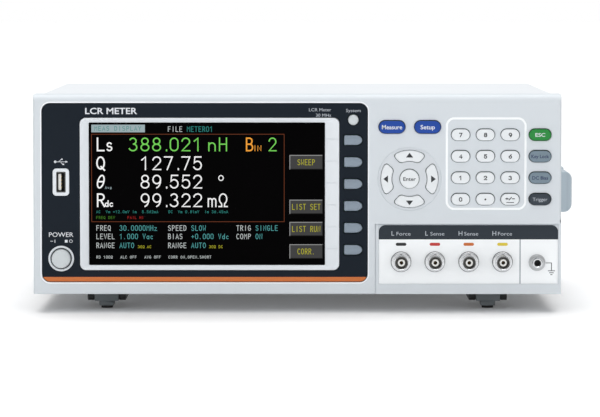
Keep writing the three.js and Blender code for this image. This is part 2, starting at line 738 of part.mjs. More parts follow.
// The power supply on the right: its board, transformer and two reservoir capacitors.
function powerSupply() {
  const top = 10;
  const board = block([75, 75, top - 1.6], [165, 235, top]);
  const transformer = block([85, 150, top - 0.5], [130, 200, top + 45]);
  const capacitor = (x, y) => slab(disc(11, x, y, 16), top - 0.5, top + 35);
  const pillars = [
    [80, 80],
    [160, 80],
    [80, 230],
    [160, 230],
  ].map(([x, y]) => slab(disc(3, x, y, 8), 2.3, top - 1));
  return join(board, transformer, capacitor(100, 105), capacitor(128, 105), ...pillars);
}

// ---------------------------------------------------------------- carrying strap
// Drawn on the side of the case: x towards the back, y up and z outwards.
function strapCap() {
  const { width, cap, out } = STRAP;
  const shoulder = 5;
  const section = new THREE.Shape()
    .moveTo(-width / 2, GAP)
    .lineTo(width / 2, GAP)
    .absarc(width / 2 - shoulder, out - shoulder, shoulder, 0, Math.PI / 2)
    .absarc(-width / 2 + shoulder, out - shoulder, shoulder, Math.PI / 2, Math.PI)
    .closePath();
  const nose = 8;
  const side = new THREE.Shape()
    .moveTo(0, 0)
    .lineTo(cap, 0)
    .lineTo(cap, out + 1)
    .lineTo(nose, out + 1)
    .absellipse(nose, 0, nose, out + 1, Math.PI / 2, Math.PI)
    .closePath();
  const across = slab(section, 0, cap).rotateX(Math.PI / 2).rotateZ(Math.PI / 2);
  const along = slab(side, -width, width).rotateX(Math.PI / 2);
  return overlap(across, along);
}

function carryStrap() {
  const { reach, width, cap, inside, thick } = STRAP;
  const half = reach / 2 - cap - GAP;
  const grip = slab(roundRect(GRIP.length, width - 1, 4), inside, inside + thick + GRIP.raised);
  return join(slab(roundRect(2 * half, width - 5, 1), inside, inside + thick), grip);
}

// ---------------------------------------------------------------- feet
// Drawn from the foot's front edge, hanging from z = 0 down to the bench.
function footBlock(withPins) {
  const { width, length, block: blockHeight, boss } = FOOT;
  const body = block([-width / 2, 0, -blockHeight], [width / 2, length, -GAP]);
  const bossBody = block(
    [-PAD.width / 2, PAD.fromFront - PAD.length / 2, -boss],
    [PAD.width / 2, PAD.fromFront + PAD.length / 2, -blockHeight + 0.5],
  );
  const pad = slab(disc(PAD.radius, 0, PAD.fromFront, 16), -FOOT_HEIGHT, -boss + 0.5);
  const pins = rodX(LEG.pin, -width / 2 - LEG.width, width / 2 + LEG.width, LEG.pivot, -LEG.pivotDrop);
  return withPins ? join(body, bossBody, pad, pins) : join(body, bossBody, pad);
}

// A bail that folds round its foot and swings down to lift the front of the meter.
function tiltLeg() {
  const inner = FOOT.width / 2 + GAP;
  const outer = inner + LEG.width;
  const middle = -LEG.pivotDrop;
  const half = LEG.height / 2;
  const barStart = FOOT.length + 0.5;
  const side = new THREE.Shape()
    .absarc(LEG.pivot, middle, half, Math.PI / 2, 1.5 * Math.PI)
    .lineTo(barStart + LEG.bar, middle - half)
    .lineTo(barStart + LEG.bar, middle + half)
    .closePath();
  const solidLeg = slab(side, -outer, outer).applyMatrix4(
    new THREE.Matrix4().makeBasis(
      new THREE.Vector3(0, 1, 0),
      new THREE.Vector3(0, 0, 1),
      new THREE.Vector3(1, 0, 0),
    ),
  );
  const low = middle - half;
  const between = block([-inner, -OVERCUT, low - OVERCUT], [inner, barStart, middle + half + OVERCUT]);
  const holes = rodX(LEG.pin + GAP, -outer - OVERCUT, outer + OVERCUT, LEG.pivot, middle);
  return cut(solidLeg, between, holes);
}

// ---------------------------------------------------------------- assembly
const meter = new THREE.Group();
meter.position.set(-ORIGIN_X, -ORIGIN_Y, FOOT_HEIGHT);

// A group for pieces drawn on one face of the case: `across` and `up` are that face's own x and y.
function panelGroup(across, up, x, y, z) {
  const group = new THREE.Group();
  const outwards = new THREE.Vector3().crossVectors(across, up);
  group.rotation.setFromRotationMatrix(new THREE.Matrix4().makeBasis(across, up, outwards));
  group.position.set(x, y, z);
  meter.add(group);
  return group;
}

const RIGHT = new THREE.Vector3(1, 0, 0);
const LEFT = new THREE.Vector3(-1, 0, 0);
const BACK = new THREE.Vector3(0, 1, 0);
const UP = new THREE.Vector3(0, 0, 1);

const frontPanel = panelGroup(RIGHT, UP, 0, 0, 0);
piece(frontPanel, "front_frame", frontFrame(), FINISH.shell);
piece(frontPanel, "display_fascia", displayFascia(), FINISH.fascia);
piece(frontPanel, "screen_frame", screenFrame(), FINISH.trim);
piece(frontPanel, "lcd_module", lcdModule(), FINISH.screen);
piece(frontPanel, "key_board", keyBoard(), FINISH.board);
piece(frontPanel, "terminal_panel", terminalPanel(), FINISH.shell);
piece(frontPanel, "power_button", powerButton(), FINISH.trim, POWER.x, POWER.y);
piece(frontPanel, "usb_socket", usbSocket(), FINISH.steel, USB.x, USB.y);
["low_force", "low_sense", "high_sense", "high_force"].forEach((use, index) => {
  piece(frontPanel, `bnc_jack_${use}`, bncJack(), FINISH.nickel, BNC.x[index], BNC.y);
});
piece(frontPanel, "ground_terminal", groundTerminal(), FINISH.nickel, GROUND.x, GROUND.y);
for (const key of KEYS) {
  const mesh = piece(frontPanel, key.name, keyBody(key), key.material, key.x, key.y);
  mesh.rotation.z = key.turn;
}

piece(meter, "top_cover", topCover(), FINISH.cover);
piece(meter, "chassis_tray", chassisTray(), FINISH.steel);
piece(meter, "main_board", mainBoard(), FINISH.board);
piece(meter, "power_supply", powerSupply(), FINISH.board);

const rearPanel = panelGroup(LEFT, UP, 0, REAR_FACE, 0);
piece(rearPanel, "ac_inlet", acInlet(), FINISH.black, INLET.x, INLET.y);
piece(rearPanel, "fan_frame", fanFrame(), FINISH.black, FAN.x, FAN.y);
piece(rearPanel, "fan_rotor", fanRotor(), FINISH.black, FAN.x, FAN.y);
piece(rearPanel, "interface_board", interfaceBoard(), FINISH.board);

const side = panelGroup(BACK, UP, COVER.width / 2, STRAP.y, STRAP.z);
piece(side, "strap_cap_front", strapCap(), FINISH.strap, -STRAP.reach / 2);
piece(side, "strap_cap_rear", strapCap(), FINISH.strap, STRAP.reach / 2).rotation.z = Math.PI;
piece(side, "carry_strap", carryStrap(), FINISH.strap);

for (const [way, x] of [["left", -FOOT.x], ["right", FOOT.x]]) {
  piece(meter, `foot_front_${way}`, footBlock(true), FINISH.footGrey, x, FOOT.frontY);
  piece(meter, `foot_rear_${way}`, footBlock(false), FINISH.footGrey, x, FOOT.rearY);
  piece(meter, `tilt_leg_${way}`, tiltLeg(), FINISH.black, x, FOOT.frontY);
}

export default meter;
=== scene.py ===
"""The looks of a benchtop LCR meter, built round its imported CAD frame.

The frame gives every place. Lengths below are in millimetres on one face of the meter, and a Panel
turns them into metres in the frame. The front face has x across to the user's right and y up.
"""

import json
import math
from functools import partial

import bmesh
import bpy
from mathutils import Matrix, Vector


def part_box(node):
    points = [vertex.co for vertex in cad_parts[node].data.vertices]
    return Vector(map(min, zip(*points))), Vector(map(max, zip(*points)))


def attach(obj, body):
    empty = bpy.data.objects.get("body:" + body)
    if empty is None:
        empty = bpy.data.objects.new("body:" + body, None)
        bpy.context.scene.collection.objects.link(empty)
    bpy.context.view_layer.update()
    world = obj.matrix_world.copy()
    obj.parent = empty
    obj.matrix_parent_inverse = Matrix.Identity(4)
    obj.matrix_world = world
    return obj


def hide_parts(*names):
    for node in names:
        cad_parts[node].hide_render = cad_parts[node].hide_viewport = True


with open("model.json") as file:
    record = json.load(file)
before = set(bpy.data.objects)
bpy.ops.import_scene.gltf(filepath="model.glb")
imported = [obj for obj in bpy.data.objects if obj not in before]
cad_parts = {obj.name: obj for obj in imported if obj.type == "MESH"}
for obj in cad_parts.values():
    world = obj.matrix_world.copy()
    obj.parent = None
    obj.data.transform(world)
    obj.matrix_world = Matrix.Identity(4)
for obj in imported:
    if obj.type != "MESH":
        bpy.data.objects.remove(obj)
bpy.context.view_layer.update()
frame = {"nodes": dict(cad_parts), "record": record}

MM = 0.001
RIGHT, BACK, UP = Vector((1, 0, 0)), Vector((0, 1, 0)), Vector((0, 0, 1))


# ------------------------------------------------------------------ places
class Panel:
    """One face of the meter: x goes along `across`, y along `up` and `out` leaves the face."""

    def __init__(self, origin, across, up):
        self.origin = Vector(origin)
        self.across = across
        self.up = up
        self.outward = across.cross(up)

    def at(self, x, y, out=0.0):
        """The point in the frame, in metres."""
        return self.origin + MM * (x * self.across + y * self.up + out * self.outward)

    def placed(self, x=0.0, y=0.0, out=0.0):
        """The matrix that puts a shape drawn in metres, facing +Z, on this face."""
        turn = Matrix((self.across, self.up, self.outward)).transposed().to_4x4()
        return Matrix.Translation(self.at(x, y, out)) @ turn

    def spot(self, node):
        """The middle of a CAD node on this face, and how far out it reaches: x, y, out."""
        low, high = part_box(node)
        middle = (low + high) / 2 - self.origin
        reach = max((low - self.origin).dot(self.outward), (high - self.origin).dot(self.outward))
        return middle.dot(self.across) / MM, middle.dot(self.up) / MM, reach / MM

    def span(self, node):
        """A CAD node's left, right, low and high on this face."""
        corners = [corner - self.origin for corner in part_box(node)]
        xs = sorted(corner.dot(self.across) / MM for corner in corners)
        ys = sorted(corner.dot(self.up) / MM for corner in corners)
        return xs[0], xs[1], ys[0], ys[1]


frame_low, frame_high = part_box("front_frame")
CASE_X = (frame_low.x + frame_high.x) / 2
CASE_BOTTOM = frame_low.z
PLATEAU_RISE = 0.6
FRONT_Y = frame_low.y + PLATEAU_RISE * MM
REAR_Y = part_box("chassis_tray")[1].y
SIDE_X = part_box("top_cover")[1].x
FRONT_HALF = (frame_high.x - frame_low.x) / 2 / MM

front = Panel((CASE_X, FRONT_Y, CASE_BOTTOM), RIGHT, UP)
rear = Panel((CASE_X, REAR_Y, CASE_BOTTOM), -RIGHT, UP)
right_side = Panel((SIDE_X, FRONT_Y, CASE_BOTTOM), BACK, UP)
left_side = Panel((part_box("top_cover")[0].x, FRONT_Y, CASE_BOTTOM), -BACK, UP)
underside = Panel((CASE_X, FRONT_Y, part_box("chassis_tray")[0].z), RIGHT, -BACK)


# ------------------------------------------------------------------ camera
def make_camera():
    """A long lens in front of the meter, a little above it and tipped down."""
    aside, distance, height = 0.0018, 2.457, 0.213
    tip = math.radians(3.37)
    data = bpy.data.cameras.new("camera")
    data.lens = 225.4
    camera = bpy.data.objects.new("camera", data)
    camera.location = (CASE_X + aside, FRONT_Y - distance, height)
    camera.rotation_euler = (math.pi / 2 - tip, 0, 0)
    bpy.context.scene.collection.objects.link(camera)
    bpy.context.scene.camera = camera


make_camera()


# ------------------------------------------------------------------ materials
def srgb(red, green, blue):
    """The linear colour, with alpha, of an 8-bit display colour."""

    def linear(value):
        share = value / 255
        return share / 12.92 if share <= 0.04045 else ((share + 0.055) / 1.055) ** 2.4

    return (linear(red), linear(green), linear(blue), 1.0)


def scaled(colour, factor):
    """The colour made lighter or darker."""
    return (*[min(channel * factor, 1.0) for channel in colour[:3]], 1.0)


class Value:
    """A socket of a finish whose arithmetic adds Math nodes."""

    def __init__(self, finish, socket):
        self.finish = finish
        self.socket = socket

    def __add__(self, other):
        return self.finish.maths("ADD", self, other)

    def __sub__(self, other):
        return self.finish.maths("SUBTRACT", self, other)

    def __rsub__(self, other):
        return self.finish.maths("SUBTRACT", other, self)

    def __mul__(self, other):
        return self.finish.maths("MULTIPLY", self, other)

    def __gt__(self, other):
        return self.finish.maths("GREATER_THAN", self, other)

    __radd__ = __add__
    __rmul__ = __mul__


class Nodes:
    """A tree of nodes, and the one way in which nodes are added to it."""

    def __init__(self, tree):
        self.tree = tree

    def plug(self, socket, value):
        if isinstance(value, Value):
            self.tree.links.new(value.socket, socket)
        else:
            socket.default_value = value

    def node(self, kind, settings=(), inputs=(), output=0):
        """Adds a node: its settings first, then its sockets' values or links."""
        made = self.tree.nodes.new(kind)
        for name, value in dict(settings).items():
            setattr(made, name, value)
        for name, value in dict(inputs).items():
            self.plug(made.inputs[name], value)
        return Value(self, made.outputs[output])

    def maths(self, operation, first, second):
        return self.node("ShaderNodeMath", {"operation": operation}, {0: first, 1: second})


class Finish(Nodes):
    """One material, with the nodes that colour and texture it."""

    def __init__(self, name, **uniform):
        self.material = bpy.data.materials.new(name)
        self.material.use_nodes = True
        super().__init__(self.material.node_tree)
        self.tree.nodes.clear()
        self.shader = self.tree.nodes.new("ShaderNodeBsdfPrincipled")
        output = self.tree.nodes.new("ShaderNodeOutputMaterial")
        self.tree.links.new(self.shader.outputs[0], output.inputs["Surface"])
        self.set(**uniform)

    def set(self, **sockets):
        """Sets or links the shader's sockets; Base_Color stands for Base Color."""
        for name, value in sockets.items():
            self.plug(self.shader.inputs[name.replace("_", " ")], value)

    def mix(self, factor, first, second):
        """A colour between two colours."""
        sockets = {"Factor": factor, 6: first, 7: second}
        return self.node("ShaderNodeMix", {"data_type": "RGBA"}, sockets, output=2)

    def between(self, value, low, high):
        """0 where the value is under low, 1 where it is over high."""
        sockets = {"Value": value, "From Min": low, "From Max": high}
        return self.node("ShaderNodeMapRange", {"clamp": True}, sockets)

    def place(self, stretch=(1, 1, 1)):
        """Where a point of the piece is, with each axis stretched."""
        point = self.node("ShaderNodeTexCoord", output=3)
        if stretch == (1, 1, 1):
            return point
        return self.node("ShaderNodeMapping", {}, {"Vector": point, "Scale": stretch})

    def noise(self, size, detail=2.0, stretch=(1, 1, 1)):
        """Soft noise from 0 to 1 whose features are about `size` millimetres across."""
        sockets = {"Vector": self.place(stretch), "Scale": 1 / (size * MM), "Detail": detail}
        return self.node("ShaderNodeTexNoise", {}, sockets)

    def cells(self, size, stretch=(1, 1, 1)):
        """The distance to the middle of the nearest cell, for pebbled and crystalline surfaces."""
        sockets = {"Vector": self.place(stretch), "Scale": 1 / (size * MM)}
        return self.node("ShaderNodeTexVoronoi", {}, sockets)

    def stripes(self, pitch, axis):
        """Even stripes across X, Y or Z, from 0 to 1."""
        settings = {"wave_type": "BANDS", "bands_direction": axis}
        turns = 2 * math.pi / 20 / (pitch * MM)
        return self.node("ShaderNodeTexWave", settings, {"Vector": self.place(), "Scale": turns})

    def bump(self, height, depth):
        """A normal from a height that runs from 0 to 1, `depth` millimetres deep."""
        sockets = {"Height": height, "Distance": depth * MM, "Strength": 1.0}
        return self.node("ShaderNodeBump", {}, sockets)


def moulded(name, colour, roughness=0.45, grain=0.45, depth=0.012, drift=0.05, gloss=0.5):
    """Moulded plastic with a fine spark-eroded grain, a faint drift of tone and rubbed patches."""
    finish = Finish(name, Specular_IOR_Level=gloss)
    tone = finish.noise(70, 3.0)
    speck = finish.noise(grain, 3.0)
    rubbed = finish.between(finish.noise(24, 4.0), 0.35, 0.75)
    colours = finish.mix(tone * 0.7 + speck * 0.3, scaled(colour, 1 - drift), scaled(colour, 1 + drift))
    finish.set(
        Base_Color=colours,
        Roughness=rubbed * -0.08 + speck * 0.08 + roughness,
        Normal=finish.bump(speck, depth),
    )
    return finish.material


def powder_coat(name, colour, roughness=0.42):
    """Powder coat on sheet steel: a low orange peel over a fine grain."""
    finish = Finish(name)
    peel = finish.noise(1.6, 2.0)
    grain = finish.noise(0.4, 2.0)
    tone = finish.noise(120, 3.0)
    finish.set(
        Base_Color=finish.mix(tone, scaled(colour, 0.965), scaled(colour, 1.02)),
        Roughness=grain * 0.12 + roughness,
        Normal=finish.bump(peel * 0.7 + grain * 0.3, 0.03),
    )
    return finish.material


def plated(name, colour, roughness, grain=0.25, stretch=(1, 1, 1), depth=0.002):
    """Plated metal with fine tool marks that run along the stretched axis."""
    finish = Finish(name, Metallic=1.0)
    marks = finish.noise(grain, 4.0, stretch)
    cloud = finish.noise(9, 3.0)
    finish.set(
        Base_Color=finish.mix(cloud, scaled(colour, 0.9), scaled(colour, 1.06)),
        Roughness=marks * 0.14 + cloud * 0.08 + roughness,
        Normal=finish.bump(marks, depth),
    )
    return finish.material


def zinc_sheet(name, colour):
    """Zinc-plated sheet with a faint crystal pattern and rolling marks."""
    finish = Finish(name, Metallic=0.85)
    crystals = finish.cells(7)
    rolling = finish.noise(0.5, 3.0, (1, 0.03, 1))
    finish.set(
        Base_Color=finish.mix(crystals, scaled(colour, 1.02), scaled(colour, 0.94)),
        Roughness=crystals * 0.1 + rolling * 0.16 + 0.3,
        Normal=finish.bump(rolling, 0.003),
    )
    return finish.material


def rubber(name, colour, roughness=0.7):
    """Soft rubber: fine pebbles, dusty high spots."""
    finish = Finish(name)
    pebbles = finish.cells(0.5)
    dust = finish.between(finish.noise(12, 4.0), 0.4, 0.8)
    finish.set(
        Base_Color=finish.mix(dust, colour, scaled(colour, 1.25)),
        Roughness=dust * 0.12 + roughness,
        Normal=finish.bump(pebbles, 0.02),
    )
    return finish.material


def printed(name, colour, roughness=0.5):
    """Screen-printed ink with the slight unevenness of its mesh."""
    finish = Finish(name)
    ink = finish.noise(0.6, 2.0)
    finish.set(
        Base_Color=finish.mix(ink, scaled(colour, 0.94), scaled(colour, 1.04)),
        Roughness=ink * 0.1 + roughness,
    )
    return finish.material


def lit(name, colour, strength=1.0):
    """A lit area of the display, crossed by the fine lines of its grid."""
    finish = Finish(name, Base_Color=scaled(colour, 0.02), Roughness=0.4, Emission_Strength=strength)
    finish.set(Specular_IOR_Level=0.04)
    rows = finish.stripes(0.19, "Z")
    finish.set(Emission_Color=finish.mix(rows, scaled(colour, 0.86), colour))
    return finish.material


def display_glass(name):
    """The dark glass of the display, with a faint streak of handling on it."""
    finish = Finish(name, Specular_IOR_Level=0.012)
    haze = finish.between(finish.noise(40, 4.0), 0.45, 0.8)
    rows = finish.stripes(0.19, "Z")
    finish.set(
        Base_Color=finish.mix(rows, (0.0006, 0.0005, 0.0006, 1), (0.0012, 0.001, 0.0012, 1)),
        Roughness=haze * 0.1 + 0.16,
    )
    return finish.material


def solder_mask(name, colour):
    """A circuit board: solder mask over faint copper tracks."""
    finish = Finish(name)
    tracks = finish.cells(3.5, (1, 1, 0.2)) > 0.42
    grain = finish.noise(1.2, 2.0)
    finish.set(
        Base_Color=finish.mix(tracks, scaled(colour, 0.8), scaled(colour, 1.35)),
        Roughness=grain * 0.15 + 0.32,
        Normal=finish.bump(tracks, 0.03),
    )
    return finish.material


SHELL = moulded("shell_moulding", srgb(203, 209, 214), 0.46, 0.5, 0.014, 0.02, gloss=0.3)
DISH = moulded("dish_grey", srgb(203, 208, 213), 0.46, 0.5, 0.014, 0.02, gloss=0.3)
# A whiter copy of the shell moulding: a painted highlight for the rim round the fascia.
RIM_HIGHLIGHT = moulded("rim_painted_highlight", srgb(240, 243, 247), 0.4, 0.5, 0.006, 0.01)
# The terminal plate's own paler moulding. On the keypad skirt it is a painted highlight.
PLATE_AND_HIGHLIGHT = moulded("terminal_plate", srgb(240, 243, 245), 0.42, 0.5, 0.01, 0.015)
FASCIA = moulded("fascia_navy", srgb(21, 29, 38), 0.4, 0.4, 0.006, 0.08, gloss=0.1)
HEADING = moulded("heading_slate", srgb(46, 53, 60), 0.42, 0.4, 0.006, 0.06, gloss=0.15)
TRIM = moulded("satin_trim", srgb(216, 221, 226), 0.33, 0.3, 0.006, 0.02)
GROOVE_SHADE = moulded("groove_shadow", srgb(150, 156, 164), 0.5, 0.3, 0.006)
COVER = powder_coat("cover_paint", srgb(216, 220, 224))
SHEET = zinc_sheet("zinc_sheet", srgb(196, 199, 202))
NICKEL = plated("nickel_plate", srgb(214, 216, 218), 0.1, 0.2, (1, 1, 6))
SCREW_METAL = plated("screw_nickel", srgb(205, 206, 206), 0.22)
GOLD = plated("contact_gold", srgb(226, 184, 92), 0.18)
# The contact gold made darker for contacts deep in a socket: painted shade.
SHADED_GOLD = plated("contact_gold_painted_shade", srgb(112, 86, 48), 0.34)
SOCKET_METAL = plated("socket_steel", srgb(188, 190, 192), 0.26, 0.3, (1, 0.1, 1))
# A darker copy of the socket metal for surfaces inside hollows: painted shade.
SHADED_METAL = plated("metal_painted_shade", srgb(112, 112, 110), 0.3)
INSULATOR = moulded("insulator_white", srgb(228, 228, 224), 0.5, 0.3, 0.006)
KEY_WHITE = moulded("key_white", srgb(220, 224, 227), 0.5, 0.3, 0.008, 0.02, gloss=0.3)
KEY_GREY = moulded("key_silver_grey", srgb(126, 139, 152), 0.34, 0.3, 0.006, 0.03)
KEY_SILVER = moulded("key_silver", srgb(194, 200, 203), 0.34, 0.3, 0.006, 0.03)
KEY_BLUE = moulded("key_blue", srgb(24, 66, 150), 0.42, 0.3, 0.008, gloss=0.25)
KEY_GREEN = moulded("key_green", srgb(34, 130, 56), 0.42, 0.3, 0.008, gloss=0.25)
KEY_SLATE = moulded("key_blue_grey", srgb(108, 126, 138), 0.44, 0.3, 0.008, 0.03)
KEY_DARK = moulded("key_dark_slate", srgb(50, 59, 67), 0.42, 0.3, 0.008, gloss=0.25)
FOOT = moulded("foot_grey", srgb(104, 110, 113), 0.55, 0.6, 0.03, 0.06)
BLACK = moulded("black_plastic", srgb(30, 31, 33), 0.5, 0.5, 0.02, 0.1)
CAP = moulded("strap_cap_grey", srgb(168, 182, 192), 0.45, 0.6, 0.02, 0.03)
STRAP = rubber("strap_rubber", srgb(170, 182, 191))
PAD = rubber("foot_rubber", srgb(26, 26, 27))
BOARD = solder_mask("solder_mask", (0.012, 0.1, 0.035, 1))
INK_WHITE = printed("ink_white", srgb(214, 218, 224))
INK_PALE = printed("ink_pale", srgb(176, 182, 190))
INK_DARK = printed("ink_dark", srgb(38, 41, 46))
INK_NAVY = printed("ink_navy", srgb(28, 44, 84))
INK_ORANGE = printed("ink_orange", srgb(196, 104, 40))
INK_RED = printed("ink_red", srgb(190, 48, 44))
INK_YELLOW = printed("ink_yellow", srgb(214, 192, 52))
GLASS = display_glass("display_glass")
LIT_WHITE = lit("lit_white", srgb(250, 250, 250), 1.0)
LIT_GREEN = lit("lit_green", srgb(120, 214, 92), 1.0)
LIT_TEAL = lit("lit_teal", srgb(52, 142, 134), 0.9)
LIT_ORANGE = lit("lit_orange", srgb(248, 164, 60), 1.0)
LIT_YELLOW = lit("lit_yellow", srgb(196, 190, 52), 0.8)
LIT_RED = lit("lit_red", srgb(186, 44, 40), 0.8)
LIT_GREY = lit("lit_grey", srgb(158, 176, 180), 1.0)
LIT_BROWN = lit("lit_brown", srgb(120, 62, 38), 0.9)
LIT_BUTTON = lit("lit_button", srgb(66, 66, 66), 1.0)
LIT_SOFT = lit("lit_soft_white", srgb(200, 206, 206), 1.0)
LIT_CYAN = lit("lit_cyan", srgb(84, 164, 164), 1.0)
LIT_MOSS = lit("lit_moss", srgb(72, 128, 40), 0.9)
LIT_SHADE = lit("lit_button_shade", srgb(34, 34, 34), 1.0)
LIT_EDGE = lit("lit_button_edge", srgb(150, 150, 150), 1.0)

SLOTS = {
    SHELL: "shell",
    PLATE_AND_HIGHLIGHT: "shell",
    DISH: "shell",
    KEY_SILVER: "key_grey",
    RIM_HIGHLIGHT: "shell",
    FASCIA: "fascia",
    TRIM: "screen_trim",
    COVER: "cover_paint",
    SHEET: "bare_steel",
    NICKEL: "nickel",
    KEY_WHITE: "key_white",
    KEY_GREY: "key_grey",
    KEY_BLUE: "key_blue",
    KEY_GREEN: "key_green",
    KEY_SLATE: "key_slate",
    KEY_DARK: "key_dark",
    FOOT: "foot_plastic",
    BLACK: "black_plastic",
    CAP: "strap_plastic",
    STRAP: "strap_rubber",
    BOARD: "circuit_board",
    GLASS: "screen",
}


# ------------------------------------------------------------------ making pieces
def finish_mesh(mesh, sharp=50):
    """Smooth shading, with edges over `sharp` degrees kept crisp."""
    mesh.polygons.foreach_set("use_smooth", [True] * len(mesh.polygons))
    mesh.set_sharp_from_angle(angle=math.radians(sharp))


def add_piece(name, mesh, material, body="case", replaces=(), place=None):
    """Puts a mesh in the scene as a piece of the meter that rides on a body."""
    if material is not None:
        mesh.materials.clear()
        mesh.materials.append(material)
    piece = bpy.data.objects.new(name, mesh)
    bpy.context.scene.collection.objects.link(piece)
    if place is not None:
        piece.matrix_world = place
        bpy.context.view_layer.update()
    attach(piece, body)
    if replaces:
        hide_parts(*replaces)
    material in SLOTS
    return piece


def mesh_of(name, points, faces, sharp=50):
    """A mesh with its faces turned outwards."""
    made = bmesh.new()
    corners = [made.verts.new(point) for point in points]
    for face in faces:
        made.faces.new([corners[index] for index in face])
    bmesh.ops.recalc_face_normals(made, faces=made.faces)
    mesh = bpy.data.meshes.new(name)
    made.to_mesh(mesh)
    made.free()
    finish_mesh(mesh, sharp)
    return mesh


def loft(name, rings, wrap=False, sharp=50):
    """A skin over rings of points. Its ends are closed, or with `wrap` the last ring meets the first."""
    count = len(rings[0])
    points = [point for ring in rings for point in ring]
    faces = []
    for index in range(len(rings) if wrap else len(rings) - 1):
        base = index * count
        above = (index + 1) % len(rings) * count
        for step in range(count):
            after = (step + 1) % count
            faces.append((base + step, base + after, above + after, above + step))
    if not wrap:
        faces.append(tuple(range(count)))
        faces.append(tuple(range(len(points) - count, len(points))))
    return mesh_of(name, points, faces, sharp)


def arc(x, y, radius, start, end, steps=8):
    """Points along an arc, angles in degrees."""
    turns = [math.radians(start + (end - start) * step / steps) for step in range(steps + 1)]
    return [(x + radius * math.cos(turn), y + radius * math.sin(turn)) for turn in turns]


def rounded_rect(width, height, radius, x=0.0, y=0.0, steps=8, low_radius=None, inward=0.0):
    """A rectangle's outline with round corners, anticlockwise from its lower right."""
    least = 0.04
    low = max((radius if low_radius is None else low_radius) - inward, least)
    radius = max(radius - inward, least)
    right, top = x + width / 2 - inward, y + height / 2 - inward
    left, bottom = x - width / 2 + inward, y - height / 2 + inward
    return [
        *arc(right - low, bottom + low, low, -90, 0, steps),
        *arc(right - radius, top - radius, radius, 0, 90, steps),
        *arc(left + radius, top - radius, radius, 90, 180, steps),
        *arc(left + low, bottom + low, low, 180, 270, steps),
    ]


def circle(radius, x=0.0, y=0.0, steps=48, inward=0.0):
    """A circle's outline."""
    return arc(x, y, radius - inward, 0, 360 - 360 / steps, steps - 1)


def pill(width, height, steps=16, inward=0.0):
    """An outline with half-round ends."""
    reach = (width - height) / 2
    radius = height / 2 - inward
    return [*arc(reach, 0, radius, -90, 90, steps), *arc(-reach, 0, radius, 90, 270, steps)]


def bullet(width, height, nose=4.5, corner=0.9, inward=0.0):
    """A function key's outline: square at the left, round at the right."""
    shoulder = width / 2 - nose
    half, back = height / 2 - inward, -width / 2 + inward
    nose, corner = nose - inward, max(corner - inward, 0.08)
    turns = [math.radians(-90 + 180 * step / 20) for step in range(21)]
    return [
        *[(shoulder + nose * math.cos(turn), half * math.sin(turn)) for turn in turns],
        *arc(back + corner, half - corner, corner, 90, 180, 4),
        *arc(back + corner, -half + corner, corner, 180, 270, 4),
    ]


def corner_curve(before, corner, after, steps=5):
    """A smooth turn from one point to another that leans towards the corner."""
    shares = [step / steps for step in range(1, steps)]
    turn = []
    for share in shares:
        weights = ((1 - share) ** 2, 2 * share * (1 - share), share**2)
        turn.append(
            tuple(
                weights[0] * before[axis] + weights[1] * corner[axis] + weights[2] * after[axis]
                for axis in (0, 1)
            )
        )
    return turn


def arrow_outline(quarter, inner=11.7, outer=18.7, inner_half=30, outer_half=34.5, corner=2.7, inward=0.0):
    """An arrow key's outline: part of a ring round the enter key, with rounded corners."""
    middle = 90 + 90 * quarter
    inner, outer = inner + inward, outer - inward
    inner_half -= math.degrees(inward / inner)
    outer_half -= math.degrees(inward / outer)
    corner = max(corner - 0.6 * inward, 0.3)

    def polar(radius, angle):
        turn = math.radians(middle + angle)
        return Vector((radius * math.cos(turn), radius * math.sin(turn)))

    outer_cut = math.degrees(corner / outer)
    inner_cut = math.degrees(corner / inner)
    outline = []
    for way in (1, -1):
        far = polar(outer, way * outer_half)
        near = polar(inner, way * inner_half)
        side = (near - far).normalized() * corner
        arc_end = polar(outer, way * (outer_half - outer_cut))
        arc_start = polar(inner, way * (inner_half - inner_cut))
        if way == 1:
            reach = outer_half - outer_cut
            outline += arc(0, 0, outer, middle - reach, middle + reach, 16)
            outline += corner_curve(arc_end, far, far + side)
            outline += [tuple(far + side), tuple(near - side)]
            outline += corner_curve(near - side, near, arc_start)
            reach = inner_half - inner_cut
            outline += arc(0, 0, inner, middle + reach, middle - reach, 10)
        else:
            outline += corner_curve(arc_start, near, near - side)
            outline += [tuple(near - side), tuple(far + side)]
            outline += corner_curve(far + side, far, arc_end)
    return outline


def offset_of(outline):
    """A shape for raised(): an outline that can be moved inwards."""
    return lambda inward: inset(outline, inward)


def inset(outline, distance):
    """The outline moved inwards by a distance."""
    moved = []
    for index, point in enumerate(outline):
        before = Vector(outline[index - 1])
        here = Vector(point)
        after = Vector(outline[(index + 1) % len(outline)])
        first = (here - before).normalized()
        second = (after - here).normalized()
        normal = Vector((-first.y - second.y, first.x + second.x))
        if normal.length < 1e-6:
            normal = Vector((-first.y, first.x))
        normal.normalize()
        lean = max(normal.dot(Vector((-first.y, first.x))), 0.5)
        moved.append(tuple(here + normal * (distance / lean)))
    return moved


def on_panel(panel, outline, out, x=0.0, y=0.0):
    """A ring of points in the frame from an outline on a face."""
    return [panel.at(x + across, y + up, out) for across, up in outline]


def rounded_steps(edge, top, steps=4):
    """(inset, out) pairs that round the rim of a face whose height is `top`."""
    turns = [math.pi / 2 * step / steps for step in range(steps + 1)]
    return [(edge * (1 - math.cos(turn)), top - edge * (1 - math.sin(turn))) for turn in turns]


def raised(name, panel, shape, low, high, material, edge=0.3, x=0.0, y=0.0, crown=(), **how):
    """A low boss, cap or plate with a rounded rim and, with `crown`, a domed face.

    `shape` gives the outline once it is told how far to move inwards.
    """
    steps = [(0.0, low), *rounded_steps(edge, high), *[(edge + more, high + rise) for more, rise in crown]]
    rings = [on_panel(panel, shape(inward=depth), out, x, y) for depth, out in steps]
    return add_piece(name, loft(name, rings), material, **how)


